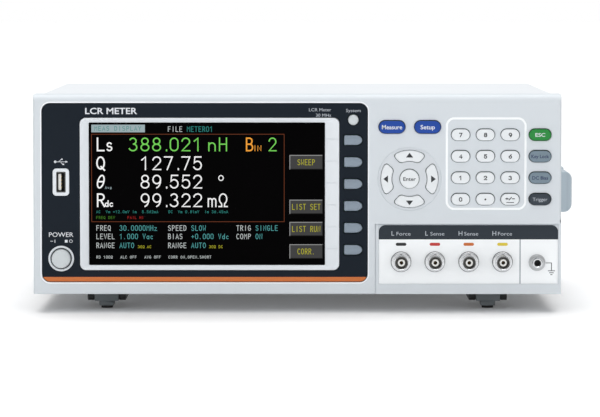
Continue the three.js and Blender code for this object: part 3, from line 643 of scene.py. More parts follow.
def bezel(name, panel, outer, inner, low, high, material, edge=0.3, x=0.0, y=0.0, **how):
    """A ring between two outlines of as many points, with rounded rims."""
    outside = [(outer, depth, out) for depth, out in [(0.0, low), *rounded_steps(edge, high, 3)]]
    inside = [(inner, -depth, out) for depth, out in [(0.0, low), *rounded_steps(edge, high, 3)]]
    steps = [*outside, *reversed(inside)]
    rings = [on_panel(panel, line(inward=depth), out, x, y) for line, depth, out in steps]
    return add_piece(name, loft(name, rings, wrap=True), material, **how)


def turned(name, profile, steps=64, sharp=40):
    """A mesh turned about Z from (radius, height) pairs in millimetres; both ends are on the axis."""
    rings = []
    for radius, height in profile[1:-1]:
        turns = [2 * math.pi * step / steps for step in range(steps)]
        ring = [(radius * MM * math.cos(turn), radius * MM * math.sin(turn), height * MM) for turn in turns]
        rings.append(ring)
    return loft(name, rings, sharp=sharp)


def prisms(panel, holes, low, high):
    """One mesh of upright blocks: each hole is an outline and the x and y it is moved to."""
    points, faces = [], []
    for outline, x, y in holes:
        base, count = len(points), len(outline)
        points += on_panel(panel, outline, low, x, y) + on_panel(panel, outline, high, x, y)
        faces += [tuple(range(base, base + count)), tuple(range(base + count, base + 2 * count))]
        for step in range(count):
            after = (step + 1) % count
            faces.append((base + step, base + after, base + count + after, base + count + step))
    return mesh_of("prisms", points, faces)


def carved(mesh, tool):
    """The mesh with another mesh cut out of it."""
    body = bpy.data.objects.new("body", mesh)
    cutter = bpy.data.objects.new("cutter", tool)
    for holder in (body, cutter):
        bpy.context.scene.collection.objects.link(holder)
    cut = body.modifiers.new("cut", "BOOLEAN")
    cut.operation = "DIFFERENCE"
    cut.solver = "EXACT"
    cut.object = cutter
    shown = body.evaluated_get(bpy.context.evaluated_depsgraph_get())
    left = bpy.data.meshes.new_from_object(shown)
    bpy.data.objects.remove(body)
    bpy.data.objects.remove(cutter)
    bpy.data.meshes.remove(tool)
    if not left.polygons:
        raise ValueError(f"nothing is left of {mesh.name} after the cut")
    return left


def welded(node):
    """A copy of a CAD node's mesh with its corners joined."""
    shape = bmesh.new()
    shape.from_mesh(frame["nodes"][node].data)
    bmesh.ops.remove_doubles(shape, verts=shape.verts, dist=1e-6)
    mesh = bpy.data.meshes.new(node)
    shape.to_mesh(mesh)
    shape.free()
    return mesh


def refined(node, material, edge=0.3, name=None, segments=2, crisp=35, cut=None, merge=True):
    """A CAD node's own shape, with its edges rounded and its curved faces smooth.

    `cut` is a mesh taken out of it first, which gives its openings smooth outlines.
    """
    start = welded(node)
    if cut is not None:
        start = carved(start, cut)
    shape = bmesh.new()
    shape.from_mesh(start)
    bmesh.ops.remove_doubles(shape, verts=shape.verts, dist=1e-6)
    if merge:
        bmesh.ops.dissolve_limit(
            shape, angle_limit=math.radians(0.4), verts=shape.verts, edges=shape.edges
        )
    rims = [
        line
        for line in shape.edges
        if line.is_manifold and line.is_convex and line.calc_face_angle(0) > math.radians(crisp)
    ]
    if edge:
        bmesh.ops.bevel(
            shape,
            geom=rims,
            offset=edge * MM,
            offset_type="OFFSET",
            segments=segments,
            profile=0.5,
            affect="EDGES",
            clamp_overlap=False,
        )
    mesh = bpy.data.meshes.new(name or node)
    shape.to_mesh(mesh)
    shape.free()
    finish_mesh(mesh, 50)
    piece = add_piece(name or f"{node}_shell", mesh, material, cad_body(node), (node,))
    weighted = piece.modifiers.new("flat_faces", "WEIGHTED_NORMAL")
    weighted.keep_sharp = True
    return piece


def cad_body(node):
    """The body that a CAD node rides on."""
    return next(body for body, nodes in frame["record"]["behaviour"]["bodies"].items() if node in nodes)


# ------------------------------------------------------------------ lettering
def line_mesh(text, cap, bold=0.0, slant=0.0, thick=0.03, spacing=1.0):
    """One line of plain lettering with capitals `cap` millimetres high, in metres."""
    data = bpy.data.curves.new("line", "FONT")
    data.body = text
    data.size = cap * MM / CAP_SHARE
    data.extrude = thick * MM / 2
    data.offset = bold * MM
    data.shear = slant
    data.space_character = spacing
    data.resolution_u = 3
    holder = bpy.data.objects.new("line", data)
    mesh = bpy.data.meshes.new_from_object(holder)
    bpy.data.objects.remove(holder)
    bpy.data.curves.remove(data)
    return mesh


CAP_SHARE = 1.0
capital = line_mesh("H", 1.0, thick=0.0)
CAP_SHARE = max(vertex.co.y for vertex in capital.vertices) / MM
bpy.data.meshes.remove(capital)


def lettering(name, panel, lines, out, material, body="case"):
    """Lines of lettering as one piece. Each line is text, x, y of its middle, cap height and options.

    align is left, center or right, and width squeezes the line to that many millimetres.
    """
    whole = bmesh.new()
    for text, x, y, cap, options in lines:
        options = dict(options)
        align = options.pop("align", "center")
        width = options.pop("width", None)
        mesh = line_mesh(text, cap, **options)
        xs = [vertex.co.x for vertex in mesh.vertices]
        left, right = min(xs), max(xs)
        squeeze = width * MM / (right - left) if width else 1.0
        anchor = {"left": left, "center": (left + right) / 2, "right": right}[align]
        start = Matrix.Translation((-anchor, -cap * MM / 2, 0))
        mesh.transform(panel.placed(x, y, out) @ Matrix.Diagonal((squeeze, 1, 1, 1)) @ start)
        whole.from_mesh(mesh)
        bpy.data.meshes.remove(mesh)
    mesh = bpy.data.meshes.new(name)
    whole.to_mesh(mesh)
    whole.free()
    return add_piece(name, mesh, material, body)


def stroke(*parts):
    """A pen stroke in a cell one wide and one high: points, and arcs as (x, y, rx, ry, start, end)."""
    points = []
    for part in parts:
        if len(part) == 2:
            points.append(part)
            continue
        x, y, across, up, start, end = part
        steps = max(4, round(abs(end - start) / 18))
        turns = [math.radians(start + (end - start) * step / steps) for step in range(steps + 1)]
        points += [(x + across * math.cos(turn), y + up * math.sin(turn)) for turn in turns]
    return points


STROKES = {
    "0": [stroke((0.5, 0.7, 0.45, 0.3, 0, 180), (0.5, 0.3, 0.45, 0.3, 180, 360), (0.95, 0.7))],
    "1": [stroke((0.12, 0.76), (0.55, 1), (0.55, 0))],
    "2": [stroke((0.5, 0.72, 0.45, 0.28, 170, -35), (0.05, 0), (0.97, 0))],
    "3": [stroke((0.46, 0.76, 0.38, 0.24, 150, -90), (0.46, 0.27, 0.46, 0.27, 80, -155))],
    "4": [stroke((0.74, 0), (0.74, 1), (0.04, 0.3), (1, 0.3))],
    "5": [stroke((0.9, 1), (0.18, 1), (0.1, 0.52), (0.48, 0.33, 0.46, 0.33, 125, -155))],
    "6": [stroke((0.82, 1), (0.12, 0.5)), stroke((0.5, 0.33, 0.45, 0.33, 0, 360))],
    "7": [stroke((0.04, 1), (0.96, 1), (0.36, 0))],
    "8": [stroke((0.5, 0.76, 0.38, 0.24, 0, 360)), stroke((0.5, 0.26, 0.46, 0.26, 0, 360))],
    "9": [stroke((0.5, 0.67, 0.45, 0.33, 0, 360)), stroke((0.95, 0.67), (0.38, 0.6, 0.57, 0.6, 0, -78))],
    ".": [stroke((0.4, 0), (0.4, 0.06))],
    ",": [stroke((0.4, 0.05), (0.28, -0.14))],
    "+": [stroke((0.1, 0.45), (0.9, 0.45)), stroke((0.5, 0.2), (0.5, 0.7))],
    "-": [stroke((0.15, 0.45), (0.85, 0.45))],
    "A": [stroke((0.02, 0), (0.5, 1), (0.98, 0)), stroke((0.2, 0.34), (0.8, 0.34))],
    "B": [stroke((0.1, 0.52), (0.5, 0.52), (0.52, 0.26, 0.42, 0.26, 90, -90), (0.1, 0), (0.1, 1), (0.5, 1),
                 (0.5, 0.76, 0.36, 0.24, 90, -90))],
    "C": [stroke((0.55, 0.5, 0.5, 0.5, 50, 310))],
    "D": [stroke((0.1, 0), (0.1, 1), (0.45, 0.5, 0.5, 0.5, 90, -90), (0.1, 0))],
    "E": [stroke((0.95, 0), (0.1, 0), (0.1, 1), (0.92, 1)), stroke((0.1, 0.52), (0.8, 0.52))],
    "F": [stroke((0.12, 0), (0.12, 1), (0.95, 1)), stroke((0.12, 0.52), (0.8, 0.52))],
    "G": [stroke((0.52, 0.5, 0.47, 0.5, 50, 330), (0.95, 0.45), (0.6, 0.45))],
    "H": [stroke((0.08, 0), (0.08, 1)), stroke((0.92, 0), (0.92, 1)), stroke((0.08, 0.52), (0.92, 0.52))],
    "I": [stroke((0.5, 0), (0.5, 1))],
    "L": [stroke((0.12, 1), (0.12, 0), (0.92, 0))],
    "M": [stroke((0.04, 0), (0.04, 1), (0.5, 0.55), (0.96, 1), (0.96, 0))],
    "N": [stroke((0.08, 0), (0.08, 1), (0.92, 0), (0.92, 1))],
    "O": [stroke((0.5, 0.5, 0.46, 0.5, 0, 360))],
    "P": [stroke((0.12, 0), (0.12, 1), (0.5, 1), (0.5, 0.74, 0.42, 0.26, 90, -90), (0.12, 0.48))],
    "Q": [stroke((0.5, 0.52, 0.46, 0.48, 0, 360)), stroke((0.55, 0.22), (0.98, -0.06))],
    "R": [stroke((0.12, 0), (0.12, 1), (0.5, 1), (0.5, 0.75, 0.42, 0.25, 90, -90), (0.12, 0.5)),
          stroke((0.5, 0.5), (0.96, 0))],
    "S": [stroke((0.5, 0.76, 0.4, 0.24, 35, 265), (0.5, 0.26, 0.43, 0.26, 85, -150))],
    "T": [stroke((0.04, 1), (0.96, 1)), stroke((0.5, 1), (0.5, 0))],
    "U": [stroke((0.08, 1), (0.5, 0.3, 0.42, 0.3, 180, 360), (0.92, 1))],
    "V": [stroke((0.04, 1), (0.5, 0), (0.96, 1))],
    "W": [stroke((0.04, 1), (0.1, 0), (0.5, 0.45), (0.9, 0), (0.96, 1))],
    "Y": [stroke((0.04, 1), (0.5, 0.5), (0.96, 1)), stroke((0.5, 0.5), (0.5, 0))],
    "g": [stroke((0.85, 0.6), (0.85, -0.1), (0.2, -0.2)), stroke((0.46, 0.3, 0.38, 0.3, 0, 360))],
    "v": [stroke((0.08, 0.6), (0.46, 0), (0.84, 0.6))],
    "a": [stroke((0.85, 0.6), (0.85, 0)), stroke((0.46, 0.3, 0.38, 0.3, 0, 360))],
    "c": [stroke((0.5, 0.3, 0.4, 0.3, 45, 315))],
    "d": [stroke((0.86, 1), (0.86, 0)), stroke((0.46, 0.3, 0.38, 0.3, 0, 360))],
    "m": [stroke((0.04, 0), (0.04, 0.62)), stroke((0.27, 0.44, 0.23, 0.19, 180, 0), (0.5, 0)),
          stroke((0.73, 0.44, 0.23, 0.19, 180, 0), (0.96, 0))],
    "n": [stroke((0.12, 0), (0.12, 0.62)), stroke((0.5, 0.36, 0.38, 0.26, 180, 0), (0.88, 0))],
    "s": [stroke((0.5, 0.46, 0.36, 0.16, 35, 265), (0.5, 0.16, 0.4, 0.16, 85, -150))],
    "/": [stroke((0.1, 0), (0.9, 1))],
    "z": [stroke((0.1, 0.6), (0.86, 0.6), (0.1, 0), (0.9, 0))],
    "Ω": [stroke((0, 0), (0.34, 0), (0.34, 0.14), (0.5, 0.6, 0.45, 0.4, 245, -65), (0.66, 0), (1, 0))],
    "θ": [stroke((0.5, 0.5, 0.4, 0.5, 0, 360)), stroke((0.12, 0.5), (0.88, 0.5))],
    "°": [stroke((0.4, 0.78, 0.34, 0.19, 0, 360))],
}


def ribbon(made, line, width, place, thick):
    """Adds one flat pen stroke, with mitred turns, to a mesh."""
    closed = (Vector(line[0]) - Vector(line[-1])).length < 1e-6
    if closed:
        line = line[:-1]
    count = len(line)
    lefts, rights = [], []
    for index, point in enumerate(line):
        here = Vector(point)
        before = Vector(line[index - 1]) if closed or index else here
        after = Vector(line[(index + 1) % count]) if closed or index < count - 1 else here
        into = (here - before).normalized() if before != here else (after - here).normalized()
        onward = (after - here).normalized() if after != here else into
        if not closed and index == 0:
            here = here - into * width / 2
        if not closed and index == count - 1:
            here = here + onward * width / 2
        side = Vector((-into.y - onward.y, into.x + onward.x))
        side = side.normalized() if side.length > 0.2 else Vector((-into.y, into.x))
        reach = width / 2 / max(side.dot(Vector((-into.y, into.x))), 0.6)
        lefts.append(here + side * reach)
        rights.append(here - side * reach)
    rings = []
    for left, right in zip(lefts, rights):
        corners = ((left, 0), (right, 0), (right, thick), (left, thick))
        rings.append([made.verts.new(place @ Vector((p.x * MM, p.y * MM, out * MM))) for p, out in corners])
    for index in range(count if closed else count - 1):
        first, second = rings[index], rings[(index + 1) % count]
        for corner in range(4):
            after = (corner + 1) % 4
            made.faces.new((first[corner], first[after], second[after], second[corner]))
    if not closed:
        made.faces.new(rings[0])
        made.faces.new(rings[-1])


def pen_lettering(name, panel, lines, out, material, body="case"):
    """Lines in the display's even-width characters, as one piece.

    Each line is text, x of its left edge, y of its middle, cap height and options: pitch from one
    character to the next, pen width, the characters' own width, and slant.
    """
    made = bmesh.new()
    for text, x, y, cap, options in lines:
        pitch = options.get("pitch", cap * 0.7)
        wide = options.get("wide", pitch * 0.66)
        pen = options.get("pen", cap * 0.1)
        slant = options.get("slant", 0.0)
        for index, letter in enumerate(text):
            for line in STROKES.get(letter, ()):
                spots = []
                for across, up in line:
                    height = pen / 2 + up * (cap - pen)
                    spots.append((index * pitch + across * wide + slant * height, height))
                ribbon(made, spots, pen, panel.placed(x, y - cap / 2, out), 0.02)
    bmesh.ops.recalc_face_normals(made, faces=made.faces)
    mesh = bpy.data.meshes.new(name)
    made.to_mesh(mesh)
    made.free()
    return add_piece(name, mesh, material, body)


def marks(name, panel, outlines, low, high, material, body="case"):
    """Flat printed shapes as one piece: each is an outline and the x and y it is moved to."""
    return add_piece(name, prisms(panel, outlines, low, high), material, body)


def bar(x0, x1, y0, y1):
    """A rectangle from its left, right, low and high edges, as an outline and its middle."""
    half_width, half_height = (x1 - x0) / 2, (y1 - y0) / 2
    corners = [(-half_width, -half_height), (half_width, -half_height)]
    corners += [(half_width, half_height), (-half_width, half_height)]
    return corners, (x0 + x1) / 2, (y0 + y1) / 2


# ------------------------------------------------------------------ keys
FLANGE = 1.0
PLAY = 0.3
CORNER = 5.2  # of the fascia's outline
STRIP_TOP = 11.3  # of the coloured strip, above the frame's lower edge
POWER_HOLE = 6.9
FASCIA_FACE = -0.7
DISH_FLOOR = -0.5
DISH_STEPS = ((20.3, -1.4), (20.3, -0.47), (20.2, -0.44))
HOLE_LIFT = 0.14
ROLL_TALL = 4.9
KEYPAD = (123.65, 85.75, 50.7, 58.5)
DIGITS = {digit: digit for digit in "7894561230"}
DIGITS.update(point=".", sign="+/-")


def key_size(node):
    """A key's middle, and the width and height of its hole in the panel."""
    left, right, low, high = front.span(node)
    width, height = right - left - 2 * FLANGE, high - low - 2 * FLANGE
    return (left + right) / 2, (low + high) / 2, width, height


def key_cap(node, shape, material, x, y, wall_back=-2.4, edge=0.7, dome=0.12):
    """A key cap with a rolled rim and a slightly domed face, riding on the key's own body."""
    top = front.spot(node)[2]
    crown = ((0.6, dome * 0.6), (1.2, dome))
    name = f"{node}_cap"
    how = {"body": f"{node}_body", "replaces": (node,)}
    return raised(name, front, shape, wall_back, top - dome, material, edge, x, y, crown, **how)


def key_label(node, text, cap, material, x, y, **options):
    """Lettering on a key's face, riding with the key."""
    top = front.spot(node)[2]
    lettering(f"{node}_label", front, [(text, x, y, cap, options)], top, material, f"{node}_body")


def pill_key(node, material, text, cap, ink, **options):
    x, y, width, height = key_size(node)
    key_cap(node, partial(pill, width - 2 * PLAY, height - 2 * PLAY), material, x, y)
    key_label(node, text, cap, ink, x, y, **options)


def make_keys():
    pill_key("measure_key", KEY_BLUE, "Measure", 2.7, INK_WHITE, width=13.2, bold=0.05)
    pill_key("setup_key", KEY_BLUE, "Setup", 2.7, INK_WHITE, width=9.4, bold=0.05)
    pill_key("escape_key", KEY_GREEN, "ESC", 2.3, INK_WHITE, width=6.4, bold=0.04)
    pill_key("lock_key", KEY_SLATE, "Key Lock", 2.1, INK_NAVY, width=11.6, bold=0.06)
    pill_key("bias_key", KEY_SLATE, "DC Bias", 2.1, INK_NAVY, width=10.4, bold=0.06)
    pill_key("trigger_key", KEY_DARK, "Trigger", 2.2, INK_PALE, width=9.6)
    for use, text in DIGITS.items():
        node = f"digit_key_{use}"
        x, y, width, height = key_size(node)
        top = front.spot(node)[2]
        key_cap(node, partial(pill, width - 2 * PLAY, height - 2 * PLAY), KEY_WHITE, x, y)
        if use == "point":
            dot = [(circle(0.62, steps=24), x, y)]
            marks(f"{node}_label", front, dot, top, top + 0.03, INK_DARK, f"{node}_body")
            continue
        pen = {"pitch": 2.1, "wide": 1.8, "pen": 0.62}
        start = x - ((len(text) - 1) * pen["pitch"] + pen["wide"]) / 2
        height = 2.9 if len(text) == 1 else 2.2
        lift = 0 if len(text) == 1 else 0.5
        lines = [(text, start, y + lift, height, pen)]
        pen_lettering(f"{node}_label", front, lines, top, INK_DARK, f"{node}_body")
    x, y, _, _ = key_size("digit_key_sign")
    top = front.spot("digit_key_sign")[2]
    rule = [bar(x - 2.5, x + 2.5, y - 2.2, y - 1.75)]
    marks("digit_key_sign_rule", front, rule, top, top + 0.03, INK_DARK, "digit_key_sign_body")
    for index in range(1, 7):
        node = f"function_key_{index}"
        x, y, width, height = key_size(node)
        key_cap(node, partial(bullet, width - 2 * PLAY, height - 2 * PLAY), KEY_GREY, x, y, -3.2, 1.25, 0.3)
    x, y, width, _ = key_size("system_key")
    key_cap("system_key", partial(circle, width / 2 - PLAY), KEY_SILVER, x, y, -3.2, 1.1, 0.3)
    x, y, width, _ = key_size("enter_key")
    key_cap("enter_key", partial(circle, width / 2 - PLAY), KEY_WHITE, x, y)
    key_label("enter_key", "Enter", 2.3, INK_DARK, x, y, width=8.2, bold=0.06)
    for quarter, way in enumerate(("up", "left", "down", "right")):
        node = f"arrow_key_{way}"
        key_cap(node, partial(arrow_outline, quarter), KEY_WHITE, x, y, edge=0.8)
        turn = math.radians(90 + 90 * quarter)
        reach = 15.3
        points = [(1.9, 0.0), (-1.2, 2.35), (-1.2, -2.35)]
        spin = Matrix.Rotation(turn, 2)
        triangle = [tuple(spin @ Vector(point)) for point in points]
        place = (x + reach * math.cos(turn), y + reach * math.sin(turn))
        top = front.spot(node)[2]
        marks(f"{node}_triangle", front, [(triangle, *place)], top, top + 0.03, INK_DARK, f"{node}_body")


def key_holes(*nodes):
    """Smooth outlines for the holes of keys whose outlines are pills or discs."""
    holes = []
    for node in nodes:
        x, y, width, height = key_size(node)
        round_key = abs(width - height) < 0.1
        shape = circle(width / 2 + 0.1) if round_key else pill(width + 0.2, height + 0.2)
        holes.append((shape, x, y + HOLE_LIFT))
    return holes


# ------------------------------------------------------------------ front panel
def joined(*meshes):
    """Several meshes as one."""
    whole = bmesh.new()
    for mesh in meshes:
        whole.from_mesh(mesh)
        bpy.data.meshes.remove(mesh)
    mesh = bpy.data.meshes.new("joined")
    whole.to_mesh(mesh)
    whole.free()
    return mesh


def top_roll():
    """The corner that the moulding's rolled top edge leaves out, along the whole front."""
    left, right, _, top = front.span("front_frame")
    deep, tall, clear = 4.6, ROLL_TALL, 3.0
    turns = [math.radians(180 - 90 * step / 12) for step in range(13)]
    curve = [(deep + deep * math.cos(turn), top - tall + tall * math.sin(turn)) for turn in turns]
    outline = [(-clear, top - tall), *curve, (deep, top + clear), (-clear, top + clear)]
    return prisms(right_side, [(outline, 0, 0)], -(right - left) - 20, 10)


def make_front_shell():
    pills = [f"digit_key_{use}" for use in DIGITS]
    pills += ["measure_key", "setup_key", "escape_key", "lock_key", "bias_key", "trigger_key", "enter_key"]
    cut = joined(prisms(front, key_holes(*pills), -4.5, 1.5), top_roll())
    refined("front_frame", SHELL, 0.3, "front_moulding", cut=cut)
    x, y, width, height = KEYPAD
    skirt = []
    shoulder = [(1.1, -0.1), (1.1, 0.02), (0.15, PLATEAU_RISE - 0.02), (-0.3, PLATEAU_RISE), (-0.4, -0.1)]
    for grow, out in shoulder:
        outline = rounded_rect(width + 2 * grow, height + 2 * grow, 4.5 + grow, x, y)
        skirt.append(on_panel(front, outline, out))
    # The skirt round the keypad takes the paler plate colour: a painted highlight along the plateau's rim.
    add_piece("keypad_skirt_highlight", loft("keypad_skirt_highlight", skirt, wrap=True), PLATE_AND_HIGHLIGHT)
    left, _, _, top = front.span("terminal_panel")
    low, high = -3.0, -1.2
    upright = bar(left - 0.5, left + 0.2, 0.1, top + 0.5)
    level_seam = bar(left - 0.5, FRONT_HALF - 0.3, top - 0.1, top + 0.5)
    seams = [upright, level_seam]
    marks("terminal_seam", front, seams, low, high, SHELL)


def make_dish():
    """The round dish under the arrow keys, with a hole round each key."""
    x, y, _, _ = key_size("enter_key")
    level = DISH_FLOOR + 0.06
    disc = loft("dish", [on_panel(front, circle(radius, steps=96), out, x, y) for radius, out in DISH_STEPS])
    holes = [(arrow_outline(quarter, inward=-0.4), x, y) for quarter in range(4)]
    holes.append((circle(key_size("enter_key")[2] / 2 + 0.1), x, y + HOLE_LIFT))
    mesh = carved(disc, prisms(front, holes, -3.0, level + 1))
    finish_mesh(mesh)
    add_piece("arrow_dish", mesh, DISH)


def make_fascia():
    holes = key_holes("system_key")
    for index in range(1, 7):
        x, y, width, height = key_size(f"function_key_{index}")
        holes.append((bullet(width + 0.2, height + 0.2), x, y))
    power_x, power_y, _ = front.spot("power_button")
    holes.append((circle(POWER_HOLE, steps=64), power_x, power_y))
    refined("display_fascia", FASCIA, 0.2, "fascia_plate", cut=prisms(front, holes, -3.6, 0.5))
    left, right, low, high = front.span("display_fascia")
    middle_x, middle_y = (left + right) / 2, (low + high) / 2
    width, height = right - left, high - low

    def ring(grow):
        size = (width + 2 * grow, height + 2 * grow, CORNER + grow)
        return partial(rounded_rect, *size, middle_x, middle_y)

    # The rim round the fascia is whiter than the shell: a painted highlight along the recess edge.
    bezel("fascia_rim", front, ring(1.1), ring(PLAY), -0.4, 0.18, RIM_HIGHLIGHT, 0.2)
    top = STRIP_TOP
    inside = 0.2
    radius = CORNER - inside
    reach = math.degrees(math.asin((low + CORNER - top) / radius))
    corner_right, corner_left = right - CORNER, left + CORNER
    strip = [
        *arc(corner_right, low + CORNER, radius, -90, -reach, 8),
        *arc(corner_left, low + CORNER, radius, 180 + reach, 270, 8),
    ]
    raised("fascia_strip", front, offset_of(strip), FASCIA_FACE - 0.1, FASCIA_FACE + 0.12, INK_ORANGE, 0.1)


def make_screen_frame():
    """A bevelled frame that falls to the glass, with a groove beside each function key."""
    left, right, low, high = front.span("screen_frame")
    outer = (right - left, high - low, (left + right) / 2, (low + high) / 2)
    window_left, window_right, window_low, window_high = WINDOW
    inner = (
        window_right - window_left,
        window_high - window_low,
        (window_left + window_right) / 2,
        (window_low + window_high) / 2,
    )
    face = FASCIA_FACE + 0.4
    back = face - 3.9
    steps = [
        (outer, 0.0, 4.0, back),
        (outer, 0.0, 4.0, face - 0.35),
        (outer, 0.1, 3.9, face - 0.1),
        (outer, 0.35, 3.7, face),
        (outer, 0.75, 3.3, face),
        (outer, 1.0, 3.1, face - 0.1),
        (inner, -0.35, 1.0, face - 2.2),
        (inner, -0.15, 0.85, face - 2.35),
        (inner, 0.0, 0.7, face - 2.6),
        (inner, 0.0, 0.7, back),
    ]
    rings = []
    for (width, height, x, y), inwards, radius, out in steps:
        ring = rounded_rect(width - 2 * inwards, height - 2 * inwards, radius, x, y)
        rings.append(on_panel(front, ring, out))
    mesh = loft("screen_bezel", rings, wrap=True)
    grooves = []
    for index in range(1, 7):
        _, y, _, _ = key_size(f"function_key_{index}")
        middle = y + 0.7
        grooves.append(bar(window_right - 0.5, right - 0.9, middle - 0.2, middle + 0.2))
    lowest = face - 2.9
    highest = face + 0.3
    cut = prisms(front, grooves, lowest, highest)
    slope = (window_right - 0.5, right - 0.9)
    lean(cut, slope, (face - 2.75, face - 0.55), lowest)
    mesh = carved(mesh, cut)
    finish_mesh(mesh)
    add_piece("screen_bezel", mesh, TRIM, replaces=("screen_frame",))


def lean(mesh, slope, depths, level):
    """Lifts the blocks' floors so that they run parallel to a slope between two x places."""
    first, last = slope
    for vertex in mesh.vertices:
        place = vertex.co - front.origin
        if abs(place.dot(front.outward) / MM - level) < 0.01:
            share = (place.dot(RIGHT) / MM - first) / (last - first)
            depth = depths[0] + share * (depths[1] - depths[0])
            vertex.co += front.outward * MM * (depth - level)


def make_power_button():
    x, y, top = front.spot("power_button")
    radius = 6.2
    profile = [
        (0, -14.0),
        (3.0, -14.0),
        (3.0, -4.6),
        (radius, -4.6),
        (radius, top - 1.9),
        (radius - 0.12, top - 1.3),
        (radius - 0.45, top - 0.75),
        (radius - 1.0, top - 0.4),
        (radius - 2.2, top - 0.15),
        (radius - 4.2, top - 0.02),
        (0.4, top),
        (0, top),
    ]
    place = front.placed(x, y)
    how = {"body": "power_button_body", "replaces": ("power_button",), "place": place}
    add_piece("power_button_cap", turned("power_button_cap", profile), KEY_SILVER, **how)
    ring = [
        (POWER_HOLE, FASCIA_FACE - 0.3),
        (8.4, FASCIA_FACE - 0.3),
        (8.4, FASCIA_FACE + 0.35),
        (8.2, FASCIA_FACE + 0.62),
        (7.8, FASCIA_FACE + 0.72),
        (7.25, FASCIA_FACE + 0.5),
        (POWER_HOLE, FASCIA_FACE + 0.1),
    ]
    rings = [on_panel(front, circle(radius, steps=64), out, x, y) for radius, out in ring]
    add_piece("power_button_ring", loft("power_button_ring", rings, wrap=True), TRIM)
    lettering("power_label", front, [("POWER", x, 39.1, 2.9, {"width": 16})], INK_LEVEL, INK_WHITE)
    signs = [bar(x - 7.1, x - 5.3, 34.65, 34.95), bar(x - 4.3, x - 3.9, 33.8, 35.8)]
    signs += [bar(x + 2.4, x + 4.2, 33.9, 35.7)]
    marks("power_marks", front, signs, FASCIA_FACE, INK_LEVEL + 0.02, INK_WHITE)
    off = [("O", x + 6.4, 34.8, 2.1, {})]
    lettering("power_off_mark", front, off, INK_LEVEL, INK_WHITE)


INK_LEVEL = FASCIA_FACE + 0.02


def make_usb_host():
    x, y, _ = front.spot("usb_socket")
    # The socket's metal shell takes the darker metal: painted shade inside the opening.
    refined("usb_socket", SHADED_METAL, 0.08, "usb_host_shell")
    raised("usb_host_floor", front, partial(rounded_rect, 5.4, 12.8, 0.3), -12.6, -11.6, BLACK, 0.1, x, y)
    outer = partial(rounded_rect, 10.8, 17.9, 2.4)
    inner = partial(rounded_rect, 6.1, 13.5, 0.5)
    bezel("usb_host_bezel", front, outer, inner, FASCIA_FACE - 0.2, FASCIA_FACE + 0.6, TRIM, 0.3, x, y)
    tongue = partial(rounded_rect, 1.9, 10.6, 0.25)
    raised("usb_host_tongue", front, tongue, -12, -2.4, INSULATOR, 0.15, x - 0.9, y)
    contacts = [(rounded_rect(0.22, 1.2, 0.1), x + 0.12, y + step) for step in (-3.5, -1.2, 1.2, 3.5)]
    marks("usb_host_contacts", front, contacts, -11, -2.9, GOLD)
    symbol_y = 86.9
    shaft = [bar(x - 3.7, x + 3.0, symbol_y - 0.16, symbol_y + 0.16)]
    shaft.append((circle(0.85, steps=24), x - 3.7, symbol_y))
    shaft.append(([(0, -0.7), (1.6, 0), (0, 0.7)], x + 3.0, symbol_y))
    shaft.append(([(-1.5, 0.1), (-1.2, 0.1), (0.3, 1.5), (0.3, 1.8), (0.0, 1.8)], x, symbol_y))
    shaft.append(([(-0.4, -0.1), (-0.1, -0.1), (1.3, -1.5), (1.3, -1.8), (1.0, -1.8)], x, symbol_y))
    shaft.append((circle(0.5, steps=20), x + 0.7, symbol_y + 1.7))
    shaft.append(bar(x + 1.2, x + 2.1, symbol_y - 2.1, symbol_y - 1.2))
    marks("usb_host_symbol", front, shaft, FASCIA_FACE, INK_LEVEL + 0.02, INK_WHITE)


def make_fascia_lettering():
    system_x, _, _ = front.spot("system_key")
    lines = [
        ("LCR METER", -121.8, 120.2, 3.9, {"width": 34, "bold": 0.1}),
    ]
    lettering("fascia_heading", front, lines, INK_LEVEL, INK_WHITE)
    lines = [
        ("LCR Meter", 22.2, 121.0, 2.0, {"align": "right", "width": 14.5}),
        ("30 MHz", 22.2, 117.4, 2.0, {"align": "right", "width": 10}),
        ("System", system_x, 120.5, 2.0, {"width": 9.6}),
    ]
    lettering("fascia_lettering", front, lines, INK_LEVEL, INK_PALE)


# ------------------------------------------------------------------ display picture
WINDOW = (-136.7, 18.2, 18.9, 112.6)
PICTURE_CORNER = (-136.0, 112.3)
PICTURE_LEVEL = -4.46
BIG, SMALL, TINY = 9.1, 3.6, 1.9
READOUTS = (
    (14.15, "L", "388.021", "nH", 25.7, LIT_GREEN),
    (26.5, "Q", "127.75", "", 33.4, LIT_WHITE),
    (38.6, "θ", "89.552", "", 33.4, LIT_WHITE),
    (50.8, "R", "99.322", "mΩ", 33.4, LIT_WHITE),
)
DIGIT_PITCH, POINT_PITCH = 7.66, 3.83
UNIT_X, UNIT_PITCH = 77.4, 7.2
SETTINGS = (
    (69.1, ("FREQ", "30.0000MHz"), ("SPEED", "SLOW"), ("TRIG", "SINGLE")),
    (74.6, ("LEVEL", "1.000 Vac"), ("BIAS", "+0.000 Vdc"), ("COMP", "ON")),
    (80.5, ("RANGE", "AUTO"), ("RANGE", "AUTO")),
)
SETTING_COLUMNS = ((4.1, 19.4), (51.2, 66.5), (96.1, 108.7))
SOFT_KEYS = (
    (21.1, 30.6, "SWEEP"),
    (50.5, 59.8, "LIST SET"),
    (65.1, 74.3, "LIST RUN"),
    (79.8, 89.2, "CORR."),
)
SOFT_KEY_EDGES = (130.9, 152.8)


